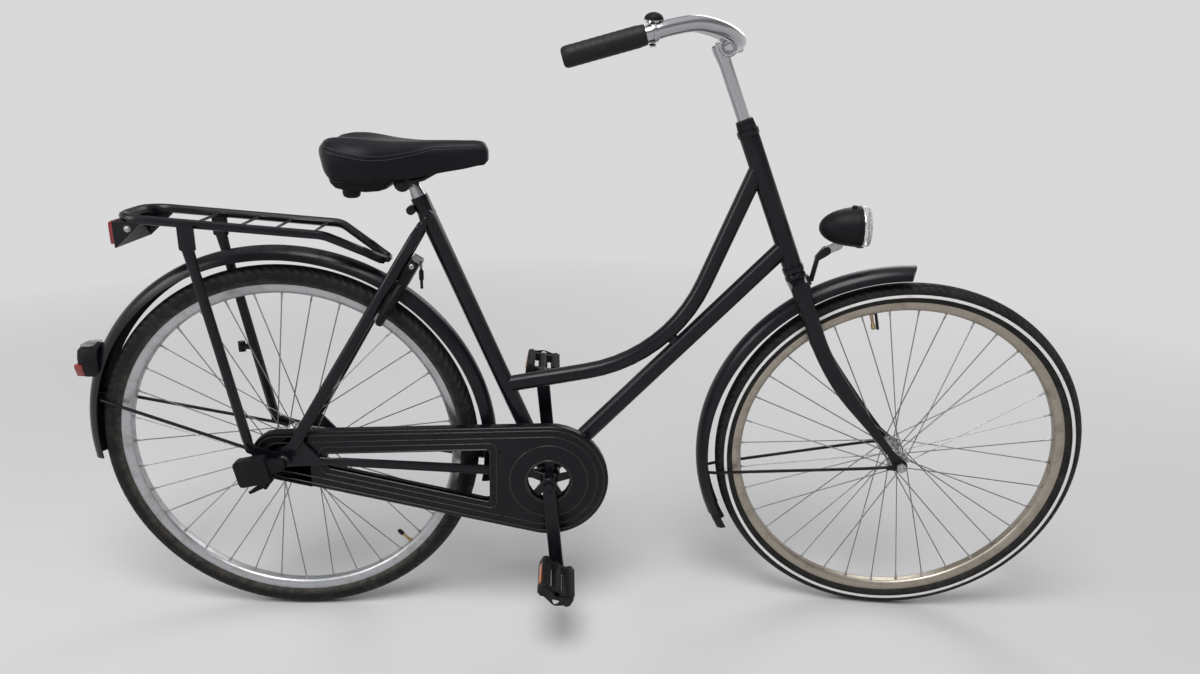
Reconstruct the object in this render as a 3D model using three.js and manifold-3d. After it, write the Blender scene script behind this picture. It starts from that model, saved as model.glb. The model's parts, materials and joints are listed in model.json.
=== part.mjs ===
// Dutch city bike with a swan frame, one gear set at the hub and a coaster brake.
// Millimetres. +X is forward, +Y is the rider's left, +Z is up.
// The origin is on the ground, straight below the rear axle.
// The handlebar and front wheel rest a little to the right.
import * as THREE from 'three';
import { mergeVertices } from 'three/addons/utils/BufferGeometryUtils.js';
import Module from 'manifold-3d';

const wasm = await Module();
wasm.setup();

// Driving dimensions of the whole bike
const tyreRadius = 349;
const tyreWidth = 38;
const wheelbase = 1162;
const headAngle = 66.4;
const seatAngle = 66.5;
const seatTubeBehind = 8;
const forkRake = 72;
const bracketReach = 485;
const bracketHeight = 303;
const steerAtRest = -7.3;
const gap = 0.3;
const overrun = 20;
const weld = 0.0001;

// Wheels
const rimInner = 298;
const rimTip = 317;
const rimWidth = 24.6;
const rimWall = 1.7;
const rimWell = 307;
const tyreWall = 3.4;
const spokeRadius = 1.2;
const nippleRadius = 2.2;
const spokeCount = 36;
const crossAngle = 60;
const spokeLift = 0.4;
const valveRadius = 3;
const valveLength = 34;
const wheelSteps = 36;
const innerTubeSteps = 24;

const frontHub = {
  flangeRadius: 20, flangeY: 29, flangeThickness: 3, barrelRadius: 9.5, capRadius: 12, capLength: 7,
  halfLength: 49.4, axleRadius: 4.7, valveAngle: 105,
};
const rearHub = {
  flangeRadius: 31, flangeY: 27, flangeThickness: 4, barrelRadius: 24, capRadius: 20, capLength: 9,
  halfLength: 45, axleRadius: 5, valveAngle: -45,
};

// Frame tubes
const headTubeRadius = 17.8;
const headTubeBore = 15;
const headTubeLow = 402;
const headTubeHigh = 652;
const seatTubeRadius = 15.5;
const seatPostRadius = 12.7;
const seatTubeLength = 570;
const seatBoreDepth = 260;
const downTubeRadius = 16.4;
const downTubeMeet = 442;
const swanRadius = 15.2;
const swanBend = 415;
const swanFootAlong = 189;
const swanFootAngle = 11.1;
const swanHeadAlong = 596;
const swanHeadAngle = 69;
const strutRadius = 10.4;
const strutAlong = 349;
const bracketShellRadius = 21;
const bracketShellHalf = 34;
const spindleRadius = 8.5;
const chainStayHeight = 20;
const chainStayWidth = 14;
const chainStayInY = 27;
const chainStayWaistY = 32.6;
const chainStayEndWidth = 5;
const dropoutY = 61;
const dropoutThickness = 4.5;
const dropoutRadius = 17;
const seatStayTop = 36;
const seatStayTopY = 25.5;
const seatStayDepth = 21;
const seatStayWidth = 14;
const seatStayMiddleShare = 0.95;
const seatStayFoot = 38;
const seatStayLead = 6;
const seatLugRadius = 13;
const seatBoltRadius = 8;
const seatBoltShare = 0.72;
const standPlateBack = 62;
const standPlateLength = 34;
const standPlateThickness = 6;
const standBoltRadius = 5.2;

// Headset
const cupRadius = 19.5;
const cupHeight = 11;
const lockNutRadius = 18;
const lockNutHeight = 17;
const steererRadius = 12.7;
const quillRadius = 11.1;

// Fork
const crownLow = 354;
const crownHalfWidth = 47;
const crownHeight = 25;
const crownDepth = 17;
const bladeTopY = 38;
const bladeTipY = 52.6;
const bladeDepth = 29;
const bladeWidth = 19;
const bladeTipDepth = 15;
const bladeTipWidth = 4.4;
const bladeBendAlong = 200;
const bladeBendRadius = 250;
const forkTipRadius = 13;
const forkTipThickness = 4.6;

// Mudguards
const mudguardRadius = 384.5;
const frontMudguardRadius = 381;
const frontMudguardBack = 6;
const mudguardWidth = 50;
const mudguardDepth = 22;
const mudguardThickness = 1.6;
const rearMudguardStart = -10;
const rearMudguardEnd = 184;
const rearGuardSteps = 22;
const frontGuardSteps = 14;
const tailTuckFrom = 110;
const tailTuck = 14;
const frontMudguardStart = 92;
const frontMudguardEnd = 205;
const flapAngle = 6;
const flapLap = 5;
const mudguardBolt = 6;
const flapThickness = 2.4;
const stayWireRadius = 3.1;
const stayEyeRadius = 9;
const stayEyeThickness = 2;
const stayTabLength = 24;
const stayKneeLength = 67;
const rearStayAngle = 165;
const frontStayAngle = 190;

// Luggage rack
const rackTubeRadius = 8;
const rackHalfWidth = 60;
const rackRear = 243;
const rackHeight = 785;
const rackDrop = 21;
const rackBendX = 98;
const rackNoseAbove = 15;
const rackNoseBehind = 47.2;
const rackFrontY = 15;
const rackCorner = 38;
const rackWireRadius = 2.6;
const rackWirePlaces = [-118, -48, 10, 75];
const rackLegRadius = 8.8;
const rackLegTopX = 126;
const rackFootBack = 58;
const rackFootRise = 20;
const rackLegPlate = { width: 27, height: 44, thickness: 4 };
const rackPlate = { height: 45, thickness: 2, halfWidth: 62, drop: 6 };
const reflector = { height: 40, halfWidth: 50, depth: 9, rim: 3 };
const pumpClip = { share: 0.41, length: 30, radius: 6 };

// Tail lamp on the rear mudguard
const tailLamp = {
  angle: 154.5, height: 66, halfWidth: 27, depth: 25, lensHeight: 30, lensDepth: 5, taper: 6,
};

// Chain drive
const chainLine = 49.2;
const chainPitch = 12.7;
const ringTeeth = 44;
const sprocketTeeth = 19;
const toothHeight = 4;
const toothThickness = 2.6;
const chainWidth = 8.4;
const chainHeight = 8.6;
const chainPlate = 1.4;
const ringBandWidth = 11;
const spiderHub = 17;
const spiderArms = 5;
const spiderArmWidth = 11;
const spiderTurn = 15;
const crankLength = 170;
const crankAngle = 6;
const crankInnerY = 64;
const crankThickness = 14;
const crankHubRadius = 16.5;
const crankEndRadius = 13.5;
const crankBoltHead = 4;
const pedalAxleRadius = 6;

// Chain case
const caseChainRoom = { front: 19.688608, rear: 5.12036 };
const caseRearBack = 14;
const caseInnerY = 40.4;
const caseOuterY = 58.2;
const caseSplitY = 49.3;
const caseWall = 1.7;
const caseHoleRadius = 40;
const caseOpening = { front: 374, back: 72, corner: 9, highBand: 45, lowBand: 46 };
const caseCapSplit = 44;
const caseRib = { radius: 74, width: 3.2, height: 0.9, inset: 8 };
const caseLipWidth = 3;

// Hub gear box on the right axle end
const gearBox = { back: 47, drop: 12, width: 58, height: 50, inY: 83, outY: 104, corner: 7, turn: -12 };
const gearBoxNeck = { radius: 11, depth: 9 };
const gearLever = { pivotForward: 20, pivotDrop: 20, length: 40, width: 9, thickness: 5, pin: 2 };

// Rear axle
const rearAxleHalf = 82;
const frontAxleHalf = 69;
const axleNutRadius = 9.6;
const axleNutHeight = 7;
const brakeArm = { length: 150, drop: 25, width: 16, thickness: 3, y: 53, clipHalf: 11 };

// Pedals
const pedal = {
  length: 94, depth: 66, height: 25, blockDepth: 16, plateThickness: 9, barrelRadius: 9.5,
  clearance: 3, rightTurn: 27, leftTurn: 9, corner: 5, nose: 19, noseRadius: 8, noseWall: 3,
};

// Saddle and seat post
const postTopRadius = 11;
const postTaper = 9;
const postHead = 12;
const postVisible = 5;
const postBelow = 180;
const clampBarrel = { radius: 12, halfWidth: 14, back: 14 };
const clampBolt = 4;
const clampPlate = { thickness: 8, radius: 14.5 };
const railRadius = 3.5;
const saddle = {
  behindClamp: 123, length: 267, aboveClamp: 84, halfWidth: 103, depth: 76, hollow: 16, plate: 5,
  bumperRadius: 14, bumperDrop: 18, bumperForward: 28,
};

// Stem and handlebar
const stemRise = 808;
const quillBelow = 70;
const stemForward = 14;
const stemLift = 2;
const barRadius = 11.6;
const barHalf = 239;
const stemClampRadius = 17;
const stemClampHalf = 21;
const gripRadius = 15.6;
const gripLength = 124;
const gripCap = 4;
const gripBore = 0.5;
const bell = {
  radius: 14, height: 11, baseHeight: 4, clampWidth: 7, clampWall: 2.8, share: 0.77, leverLength: 19,
  leverDrop: 0.8, leverThickness: 2.2, pinRadius: 2.6, inward: 7,
};

// Head lamp
const lamp = {
  rise: 106.2, reach: 25.3, length: 77, radius: 36.5, lensLength: 9, wall: 2.2, tilt: 4,
  pivotForward: 18, pivotDrop: 42, footRadius: 8, footHalf: 2,
};
const lampArm = { radius: 4.6, halfWidth: 7, pad: 2, bolt: 2.6, ear: 3, knuckle: 14 };

// Ring lock on the seat stays
const lock = {
  ringRadius: 52, barRadius: 4.2, channelPlay: 1.4, caseRadius: 7.6, ringFromAxle: 340, offset: 21,
  back: 8.5, front: 9, openFrom: -38, openTo: 218, crownHalf: 34, crownHeight: 43, discRadius: 5,
  discHeight: 2.5, keyAside: 26, lugHeight: 20, lugHalf: 7, lugX: 41,
};
const key = {
  bowLength: 19, bowHeight: 9, bowThickness: 8, shaftRadius: 2.4, shaftLength: 16, shoulder: 1.5,
  eyeRadius: 2.4, eyeInset: 4, ringRadius: 8, wireRadius: 1, spareRadius: 4, spareLength: 21, thickness: 3,
  bladeLength: 14, bladeWidth: 5,
};

// Facets
const tubeSides = 12;
const wireSides = 6;
const bendSteps = 4;

// Materials by finish
const finishes = {
  blackPaint: { color: 0x17191b, roughness: 0.38, metalness: 0.1 },
  caseBlack: { color: 0x121315, roughness: 0.3, metalness: 0 },
  blackPlastic: { color: 0x1b1c1d, roughness: 0.6, metalness: 0 },
  rubber: { color: 0x1c1c1c, roughness: 0.85, metalness: 0 },
  chrome: { color: 0xc8cacc, roughness: 0.12, metalness: 1 },
  steel: { color: 0x8d9093, roughness: 0.4, metalness: 0.9 },
  aluminium: { color: 0xa9abad, roughness: 0.42, metalness: 0.85 },
  oldRim: { color: 0x9a9184, roughness: 0.55, metalness: 0.6 },
  vinyl: { color: 0x1e2024, roughness: 0.5, metalness: 0 },
  redLens: { color: 0xa01218, roughness: 0.2, metalness: 0 },
  clearLens: { color: 0xe8ecee, roughness: 0.08, metalness: 0 },
};

// Small helpers
const point = (x, y, z) => new THREE.Vector3(x, y, z);
const flat = (x, y) => new THREE.Vector2(x, y);
const radians = THREE.MathUtils.degToRad;
const sides = [-1, 1];
const fullTurn = 2 * Math.PI;

// The corner radius of a faceted hole whose flats still clear a round of this radius
const clear = (radius, count = tubeSides) => (radius + gap) / Math.cos(Math.PI / count);

function tidy(geometry) {
  const bare = geometry.clone();
  bare.deleteAttribute('normal');
  bare.deleteAttribute('uv');
  const merged = mergeVertices(bare, weld);
  const position = merged.attributes.position;
  const kept = [];
  let volume = 0;
  const corners = [point(0, 0, 0), point(0, 0, 0), point(0, 0, 0)];
  for (let i = 0; i < merged.index.count; i += 3) {
    const ids = [0, 1, 2].map((k) => merged.index.getX(i + k));
    if (new Set(ids).size === 3) {
      ids.forEach((id, k) => corners[k].fromBufferAttribute(position, id));
      volume += corners[0].dot(corners[1].clone().cross(corners[2]));
      kept.push(ids);
    }
  }
  const ordered = volume < 0 ? kept.map(([a, b, c]) => [a, c, b]) : kept;
  merged.setIndex(ordered.flat());
  return merged;
}

function solid(geometry) {
  const clean = tidy(geometry);
  const vertProperties = new Float32Array(clean.attributes.position.array);
  const triVerts = new Uint32Array(clean.index.array);
  return new wasm.Manifold(new wasm.Mesh({ numProp: 3, vertProperties, triVerts }));
}

function toGeometry(body) {
  const mesh = body.getMesh();
  const geometry = new THREE.BufferGeometry();
  geometry.setAttribute('position', new THREE.BufferAttribute(new Float32Array(mesh.vertProperties), 3));
  geometry.setIndex(new THREE.BufferAttribute(new Uint32Array(mesh.triVerts), 1));
  return geometry;
}

function join(...pieces) {
  return toGeometry(pieces.map(solid).reduce((whole, piece) => whole.add(piece)));
}

function cut(body, ...tools) {
  return toGeometry(tools.map(solid).reduce((rest, tool) => rest.subtract(tool), solid(body)));
}

function common(body, other) {
  return toGeometry(solid(body).intersect(solid(other)));
}

// A straight rod or cone from one point to another
function rod(from, to, radius, endRadius = radius, count = tubeSides) {
  const along = to.clone().sub(from);
  const geometry = new THREE.CylinderGeometry(endRadius, radius, along.length(), count);
  const upright = point(0, 1, 0);
  geometry.applyQuaternion(new THREE.Quaternion().setFromUnitVectors(upright, along.clone().normalize()));
  const middle = from.clone().add(to).divideScalar(2);
  return geometry.translate(middle.x, middle.y, middle.z);
}

// A rod along Y
function crossRod(x, z, yLow, yHigh, radius, count = tubeSides) {
  return rod(point(x, yLow, z), point(x, yHigh, z), radius, radius, count);
}

function box(xLow, xHigh, yLow, yHigh, zLow, zHigh) {
  const geometry = new THREE.BoxGeometry(xHigh - xLow, yHigh - yLow, zHigh - zLow);
  return geometry.translate((xLow + xHigh) / 2, (yLow + yHigh) / 2, (zLow + zHigh) / 2);
}

// A route whose own points are the steps of the sweep
class Route extends THREE.Curve {
  constructor(points) {
    super();
    this.points = points;
  }

  getPoint(t, target = new THREE.Vector3()) {
    const place = THREE.MathUtils.clamp(t, 0, 1) * (this.points.length - 1);
    const index = Math.min(Math.floor(place), this.points.length - 2);
    return target.lerpVectors(this.points[index], this.points[index + 1], place - index);
  }

  getPointAt(u, target) {
    return this.getPoint(u, target);
  }

  getTangentAt(u, target = new THREE.Vector3()) {
    const index = Math.round(u * (this.points.length - 1));
    const before = this.points[Math.max(index - 1, 0)];
    const after = this.points[Math.min(index + 1, this.points.length - 1)];
    const here = this.points[index];
    const incoming = here.clone().sub(before).normalize();
    const outgoing = after.clone().sub(here).normalize();
    return target.copy(incoming).add(outgoing).normalize();
  }
}

function ring(radius, count, phase = 0) {
  const step = fullTurn / count;
  return Array.from({ length: count }, (_, i) => {
    const angle = i * step + phase;
    return flat(radius * Math.cos(angle), radius * Math.sin(angle));
  });
}

// A round tube whose route is a list of points
function tube(points, radius, count = tubeSides) {
  const shape = new THREE.Shape(ring(radius, count));
  const settings = { steps: points.length - 1, bevelEnabled: false, extrudePath: new Route(points) };
  return new THREE.ExtrudeGeometry(shape, settings);
}

// Corner points rounded to a radius, with arc points between straight runs
function rounded(points, radius, steps = bendSteps) {
  const route = [points[0]];
  for (let i = 1; i < points.length - 1; i += 1) {
    const corner = points[i];
    const back = points[i - 1].clone().sub(corner);
    const ahead = points[i + 1].clone().sub(corner);
    const half = back.angleTo(ahead) / 2;
    const reach = Math.min(radius / Math.tan(half), back.length() / 2, ahead.length() / 2);
    back.normalize();
    ahead.normalize();
    const bisector = back.clone().add(ahead).normalize();
    const middle = corner.clone().addScaledVector(bisector, reach / Math.cos(half));
    const spoke = corner.clone().addScaledVector(back, reach).sub(middle);
    const axis = ahead.clone().cross(back).normalize();
    for (let step = 0; step <= steps; step += 1) {
      const turn = (Math.PI - 2 * half) * step / steps;
      route.push(middle.clone().add(spoke.clone().applyAxisAngle(axis, turn)));
    }
  }
  route.push(points[points.length - 1]);
  return route;
}

function newell(loop) {
  const normal = point(0, 0, 0);
  loop.forEach((here, i) => {
    const next = loop[(i + 1) % loop.length];
    normal.x += (here.y - next.y) * (here.z + next.z);
    normal.y += (here.z - next.z) * (here.x + next.x);
    normal.z += (here.x - next.x) * (here.y + next.y);
  });
  return normal.normalize();
}

function capFaces(loop, first, flip) {
  const normal = newell(loop);
  const across = loop[1].clone().sub(loop[0]).normalize();
  const up = normal.clone().cross(across);
  const drawn = loop.map((p) => flat(p.dot(across), p.dot(up)));
  const faces = THREE.ShapeUtils.triangulateShape(drawn, []);
  return faces.flatMap(([a, b, c]) => (flip ? [a, c, b] : [a, b, c]).map((k) => k + first));
}

// A skin through loops of points, closed at both ends
function loft(loops) {
  const count = loops[0].length;
  const vertices = loops.flat().flatMap((p) => [p.x, p.y, p.z]);
  const faces = [];
  for (let i = 0; i < loops.length - 1; i += 1) {
    for (let j = 0; j < count; j += 1) {
      const a = i * count + j;
      const b = i * count + ((j + 1) % count);
      faces.push(a, b, b + count, a, b + count, a + count);
    }
  }
  faces.push(...capFaces(loops[0], 0, true));
  faces.push(...capFaces(loops[loops.length - 1], (loops.length - 1) * count, false));
  const geometry = new THREE.BufferGeometry();
  geometry.setAttribute('position', new THREE.Float32BufferAttribute(vertices, 3));
  geometry.setIndex(faces);
  return tidy(geometry);
}

// An oval tube: each station is { at, depth, width }, the route lies near a plane of constant Y
function ovalTube(stations, count = tubeSides) {
  const across = point(0, 1, 0);
  return loft(stations.map(({ at, depth, width }, i) => {
    const before = stations[Math.max(i - 1, 0)].at;
    const after = stations[Math.min(i + 1, stations.length - 1)].at;
    const along = after.clone().sub(before).normalize();
    const high = along.clone().cross(across).normalize();
    const wide = high.clone().cross(along).normalize();
    return ring(1, count).map((p) => at.clone()
      .addScaledVector(high, p.x * depth / 2)
      .addScaledVector(wide, p.y * width / 2));
  }));
}

// A profile of radius and Y turned round the Y axis
function turned(profile, x, z, steps) {
  const points = profile.map(([radius, y]) => flat(radius, y));
  return new THREE.LatheGeometry(points, steps).translate(x, 0, z);
}

// A flat outline in X and Z, given thickness from yLow to yHigh
function sidePlate(shape, yLow, yHigh, curveSegments = bendSteps) {
  const settings = { depth: yHigh - yLow, bevelEnabled: false, curveSegments };
  const geometry = new THREE.ExtrudeGeometry(shape, settings);
  return geometry.rotateX(Math.PI / 2).translate(0, yHigh, 0);
}

function roundPlate(x, z, radius, count = tubeSides) {
  return ring(radius, count).map((p) => flat(p.x + x, p.y + z));
}

// The convex outline round a few circles
function hullOutline(circles, count = tubeSides) {
  const cloud = circles.flatMap(([x, z, radius]) => roundPlate(x, z, radius, count));
  cloud.sort((a, b) => a.x - b.x || a.y - b.y);
  const turnOf = (o, a, b) => (a.x - o.x) * (b.y - o.y) - (a.y - o.y) * (b.x - o.x);
  const half = (list) => {
    const chain = [];
    list.forEach((p) => {
      while (chain.length > 1 && turnOf(chain[chain.length - 2], chain[chain.length - 1], p) <= 0) {
        chain.pop();
      }
      chain.push(p);
    });
    chain.pop();
    return chain;
  };
  return new THREE.Shape([...half(cloud), ...half(cloud.slice().reverse())]);
}

function roundedRectangle(xLow, xHigh, zLow, zHigh, radius, Kind = THREE.Shape) {
  const shape = new Kind();
  shape.moveTo(xLow + radius, zLow);
  shape.lineTo(xHigh - radius, zLow);
  shape.quadraticCurveTo(xHigh, zLow, xHigh, zLow + radius);
  shape.lineTo(xHigh, zHigh - radius);
  shape.quadraticCurveTo(xHigh, zHigh, xHigh - radius, zHigh);
  shape.lineTo(xLow + radius, zHigh);
  shape.quadraticCurveTo(xLow, zHigh, xLow, zHigh - radius);
  shape.lineTo(xLow, zLow + radius);
  shape.quadraticCurveTo(xLow, zLow, xLow + radius, zLow);
  return shape;
}

// Lines that everything hangs on
const rearStayY = dropoutY + dropoutThickness + gap;
const rackStrapY = rearStayY + stayEyeThickness + gap;
const rearAxle = point(0, 0, tyreRadius);
const frontAxle = point(wheelbase, 0, tyreRadius);
const bracket = point(bracketReach, 0, bracketHeight);
const steerAxis = point(-Math.cos(radians(headAngle)), 0, Math.sin(radians(headAngle)));
const steerFoot = point(wheelbase - forkRake / Math.sin(radians(headAngle)), 0, tyreRadius);
const seatAxis = point(-Math.cos(radians(seatAngle)), 0, Math.sin(radians(seatAngle)));
const steerAt = (along) => steerFoot.clone().addScaledVector(steerAxis, along);
const seatFoot = point(bracketReach - seatTubeBehind, 0, bracketHeight);
const seatAt = (along) => seatFoot.clone().addScaledVector(seatAxis, along);
const withY = (p, y) => point(p.x, y, p.z);
const stayFoot = point(seatStayLead, 0, tyreRadius);
const aroundAxle = (axle, radius, angle, y = 0) => point(
  axle.x + radius * Math.cos(radians(angle)), y, axle.z + radius * Math.sin(radians(angle)),
);

const bike = new THREE.Group();
const steered = new THREE.Group();
const straightened = new THREE.Group();
steered.position.copy(steerFoot);
steered.quaternion.setFromAxisAngle(steerAxis, radians(steerAtRest));
straightened.position.copy(steerFoot).negate();
steered.add(straightened);
bike.add(steered);

function add(name, geometry, finish, group = bike) {
  const { color, roughness, metalness } = finishes[finish];
  const clean = tidy(geometry);
  clean.computeVertexNormals();
  const mesh = new THREE.Mesh(clean, new THREE.MeshStandardMaterial({ color, roughness, metalness }));
  mesh.name = name;
  group.add(mesh);
}

// Wheels
function tyreProfile() {
  const half = tyreWidth / 2;
  const middle = tyreRadius - half;
  const bead = rimWidth / 2 - rimWall - gap;
  const outer = [
    [rimWell + rimWall, bead - tyreWall / 2],
    [rimTip + 2 * gap, bead - gap],
    [middle, half],
    [tyreRadius, half * 0.36],
  ];
  const inner = [
    [rimWell + rimWall, bead - 1.6 * tyreWall],
    [middle, half - tyreWall],
    [tyreRadius - tyreWall, 0],
  ];
  const right = outer.map(([r, y]) => [r, -y]);
  const rightInner = inner.slice(0, 2).map(([r, y]) => [r, -y]);
  const loop = [...outer, ...right.reverse(), ...rightInner, inner[2], inner[1], inner[0]];
  return [...loop, loop[0]];
}

function rimProfile() {
  const half = rimWidth / 2;
  const side = [
    [rimInner, half / 2],
    [rimTip, half],
    [rimWell, half - 2 * rimWall],
  ];
  const loop = [...side, ...side.map(([r, y]) => [r, -y]).reverse()];
  return [...loop, loop[0]];
}

function hubProfile(hub) {
  const bore = clear(hub.axleRadius);
  const half = hub.flangeThickness / 2;
  const side = [
    [bore, hub.halfLength],
    [hub.capRadius, hub.halfLength],
    [hub.capRadius, hub.halfLength - hub.capLength],
    [hub.barrelRadius, hub.flangeY + 2 * half],
    [hub.flangeRadius, hub.flangeY + half],
    [hub.flangeRadius, hub.flangeY - half],
    [hub.barrelRadius, hub.flangeY - 2 * half],
  ];
  const loop = [...side, ...side.map(([r, y]) => [r, -y]).reverse()];
  return [...loop, loop[0]];
}

// The rim is faceted, so its bed lies nearer the axle between the corners
function rimBed(angle) {
  const halfStep = 180 / wheelSteps;
  const fromMiddle = radians(angle % (2 * halfStep) - halfStep);
  return rimInner * Math.cos(radians(halfStep)) / Math.cos(fromMiddle);
}

function spokes(axle, hub) {
  const pitch = 360 / spokeCount;
  const hookRadius = hub.flangeRadius - hub.flangeThickness;
  const pieces = [];
  for (let i = 0; i < spokeCount; i += 1) {
    const side = i % 2 ? -1 : 1;
    const lead = Math.floor(i / 2) % 2 ? -1 : 1;
    const rimAngle = i * pitch;
    const hubAngle = rimAngle + lead * crossAngle;
    const hubY = side * (hub.flangeY + lead * (hub.flangeThickness / 2 + spokeLift));
    const rimY = side * nippleRadius;
    const hook = aroundAxle(axle, hookRadius, hubAngle, hubY);
    const end = aroundAxle(axle, rimBed(rimAngle) - gap, rimAngle, rimY);
    const along = end.clone().sub(hook).normalize();
    pieces.push(rod(hook, end, spokeRadius, spokeRadius, 3));
  }
  return pieces;
}

function hubWithSpokes(axle, hub) {
  return join(turned(hubProfile(hub), axle.x, axle.z, tubeSides), ...spokes(axle, hub));
}

function rimWithHoles(axle, hub) {
  const hole = rod(
    aroundAxle(axle, rimInner - overrun, hub.valveAngle),
    aroundAxle(axle, rimWell + overrun, hub.valveAngle),
    clear(valveRadius, wireSides), clear(valveRadius, wireSides), wireSides,
  );
  return cut(turned(rimProfile(), axle.x, axle.z, wheelSteps), hole);
}

function innerTube(axle, hub) {
  const middle = tyreRadius - tyreWidth / 2;
  const radius = (tyreWidth / 2 - tyreWall) / Math.SQRT2 - 2 * gap;
  const loop = ring(radius, 5).map((p) => [middle + p.x, p.y]);
  const torus = turned([...loop, loop[0]], axle.x, axle.z, innerTubeSteps);
  const valve = rod(
    aroundAxle(axle, middle, hub.valveAngle),
    aroundAxle(axle, rimInner - valveLength, hub.valveAngle),
    valveRadius, valveRadius, wireSides,
  );
  return join(torus, valve);
}

function wheel(prefix, axle, hub, rimFinish, group) {
  add(`${prefix}_hub_and_spokes`, hubWithSpokes(axle, hub), 'steel', group);
  add(`${prefix}_rim`, rimWithHoles(axle, hub), rimFinish, group);
  add(`${prefix}_inner_tube`, innerTube(axle, hub), 'rubber', group);
  add(`${prefix}_tyre`, turned(tyreProfile(), axle.x, axle.z, wheelSteps), 'rubber', group);
}

// Frame
function swanRoute() {
  const foot = seatAt(swanFootAlong);
  const head = steerAt(swanHeadAlong);
  const footWay = point(Math.cos(radians(swanFootAngle)), 0, Math.sin(radians(swanFootAngle)));
  const headWay = point(-Math.cos(radians(swanHeadAngle)), 0, -Math.sin(radians(swanHeadAngle)));
  const between = head.clone().sub(foot);
  const scale = footWay.x * headWay.z - footWay.z * headWay.x;
  const reach = (between.x * headWay.z - between.z * headWay.x) / scale;
  const corner = foot.clone().addScaledVector(footWay, reach);
  return rounded([foot, corner, head], swanBend, 10);
}

function chainStay(side, extra = 0) {
  const shellEdge = point(bracket.x - bracketShellRadius / 2, side * chainStayInY, bracket.z);
  const outY = dropoutY + dropoutThickness / 4;
  const at = (share, y) => withY(bracket.clone().lerp(rearAxle, share), side * y);
  const height = chainStayHeight + 2 * extra;
  const width = chainStayWidth + 2 * extra;
  const endWidth = chainStayEndWidth + 2 * extra;
  return ovalTube([
    { at: shellEdge, depth: height, width },
    { at: at(0.24, chainStayWaistY), depth: height, width },
    { at: at(0.78, outY - width / 3), depth: height * 0.9, width: width * 0.7 },
    { at: at(0.845, outY), depth: height * 0.8, width: endWidth },
    { at: at(0.93, outY), depth: height * 0.7, width: endWidth },
  ], 10);
}

function dropout(side) {
  const stayEnd = bracket.clone().lerp(rearAxle, 0.88);
  const stayEye = stayFoot.clone().addScaledVector(stayWay(), seatStayFoot);
  const outline = hullOutline([
    [rearAxle.x, rearAxle.z, dropoutRadius],
    [stayEnd.x, stayEnd.z, dropoutRadius / 2],
    [stayEye.x, stayEye.z, dropoutRadius / 2],
  ]);
  const low = Math.min(side * dropoutY, side * (dropoutY + dropoutThickness));
  const high = Math.max(side * dropoutY, side * (dropoutY + dropoutThickness));
  const bore = crossRod(rearAxle.x, rearAxle.z, low - overrun, high + overrun, clear(rearHub.axleRadius));
  return cut(sidePlate(outline, low, high), bore);
}

function stayWay() {
  return seatAt(seatTubeLength - seatStayTop).sub(stayFoot).normalize();
}

function frame() {
  const top = seatAt(seatTubeLength);
  const shell = crossRod(bracket.x, bracket.z, -bracketShellHalf, bracketShellHalf, bracketShellRadius, 16);
  const downEnd = steerAt(downTubeMeet);
  const downWay = downEnd.clone().sub(bracket).normalize();
  const strutFoot = bracket.clone().addScaledVector(downWay, strutAlong);
  const route = swanRoute();
  const strutHead = route.reduce((best, p) => (
    p.distanceTo(strutFoot) < best.distanceTo(strutFoot) ? p : best));
  const plateX = bracket.x - standPlateBack;
  const plateZ = bracket.z + (rearAxle.z - bracket.z) * (standPlateBack / bracketReach);
  const standPlate = box(plateX - standPlateLength / 2, plateX + standPlateLength / 2,
    -chainStayInY, chainStayInY, plateZ - standPlateThickness / 2, plateZ + standPlateThickness / 2);
  const lugEye = seatAt(seatTubeLength - seatStayTop);
  const stayBoss = crossRod(lugEye.x, lugEye.z, -seatStayTopY + seatStayWidth / 2 + gap,
    seatStayTopY - seatStayWidth / 2 - gap, seatLugRadius);
  const clampEye = seatAt(seatTubeLength - seatStayTop * seatBoltShare);
  const clampBoss = crossRod(clampEye.x - seatTubeRadius - seatBoltRadius, clampEye.z, -seatLugRadius,
    seatLugRadius, seatBoltRadius, 10);
  const whole = join(
    rod(steerAt(headTubeLow), steerAt(headTubeHigh), headTubeRadius, headTubeRadius, 16),
    rod(seatFoot, top, seatTubeRadius, seatTubeRadius, 14),
    rod(bracket, downEnd, downTubeRadius, downTubeRadius, 14),
    tube(route, swanRadius, 14),
    rod(strutFoot, strutHead, strutRadius),
    shell, standPlate, stayBoss, clampBoss,
    ...sides.map((side) => chainStay(side)),
    ...sides.map((side) => dropout(side)),
  );
  return cut(
    whole,
    rod(steerAt(headTubeLow - overrun), steerAt(headTubeHigh + overrun), headTubeBore, headTubeBore, 16),
    rod(seatAt(seatTubeLength - seatBoreDepth), seatAt(seatTubeLength + overrun), seatPostRadius + gap,
      seatPostRadius + gap, 14),
    crossRod(bracket.x, bracket.z, -bracketShellHalf - overrun, bracketShellHalf + overrun,
      clear(spindleRadius + 3 * gap), tubeSides),
    rod(point(plateX, 0, plateZ - overrun), point(plateX, 0, plateZ + overrun), standBoltRadius,
      standBoltRadius, 8),
  );
}

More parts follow.
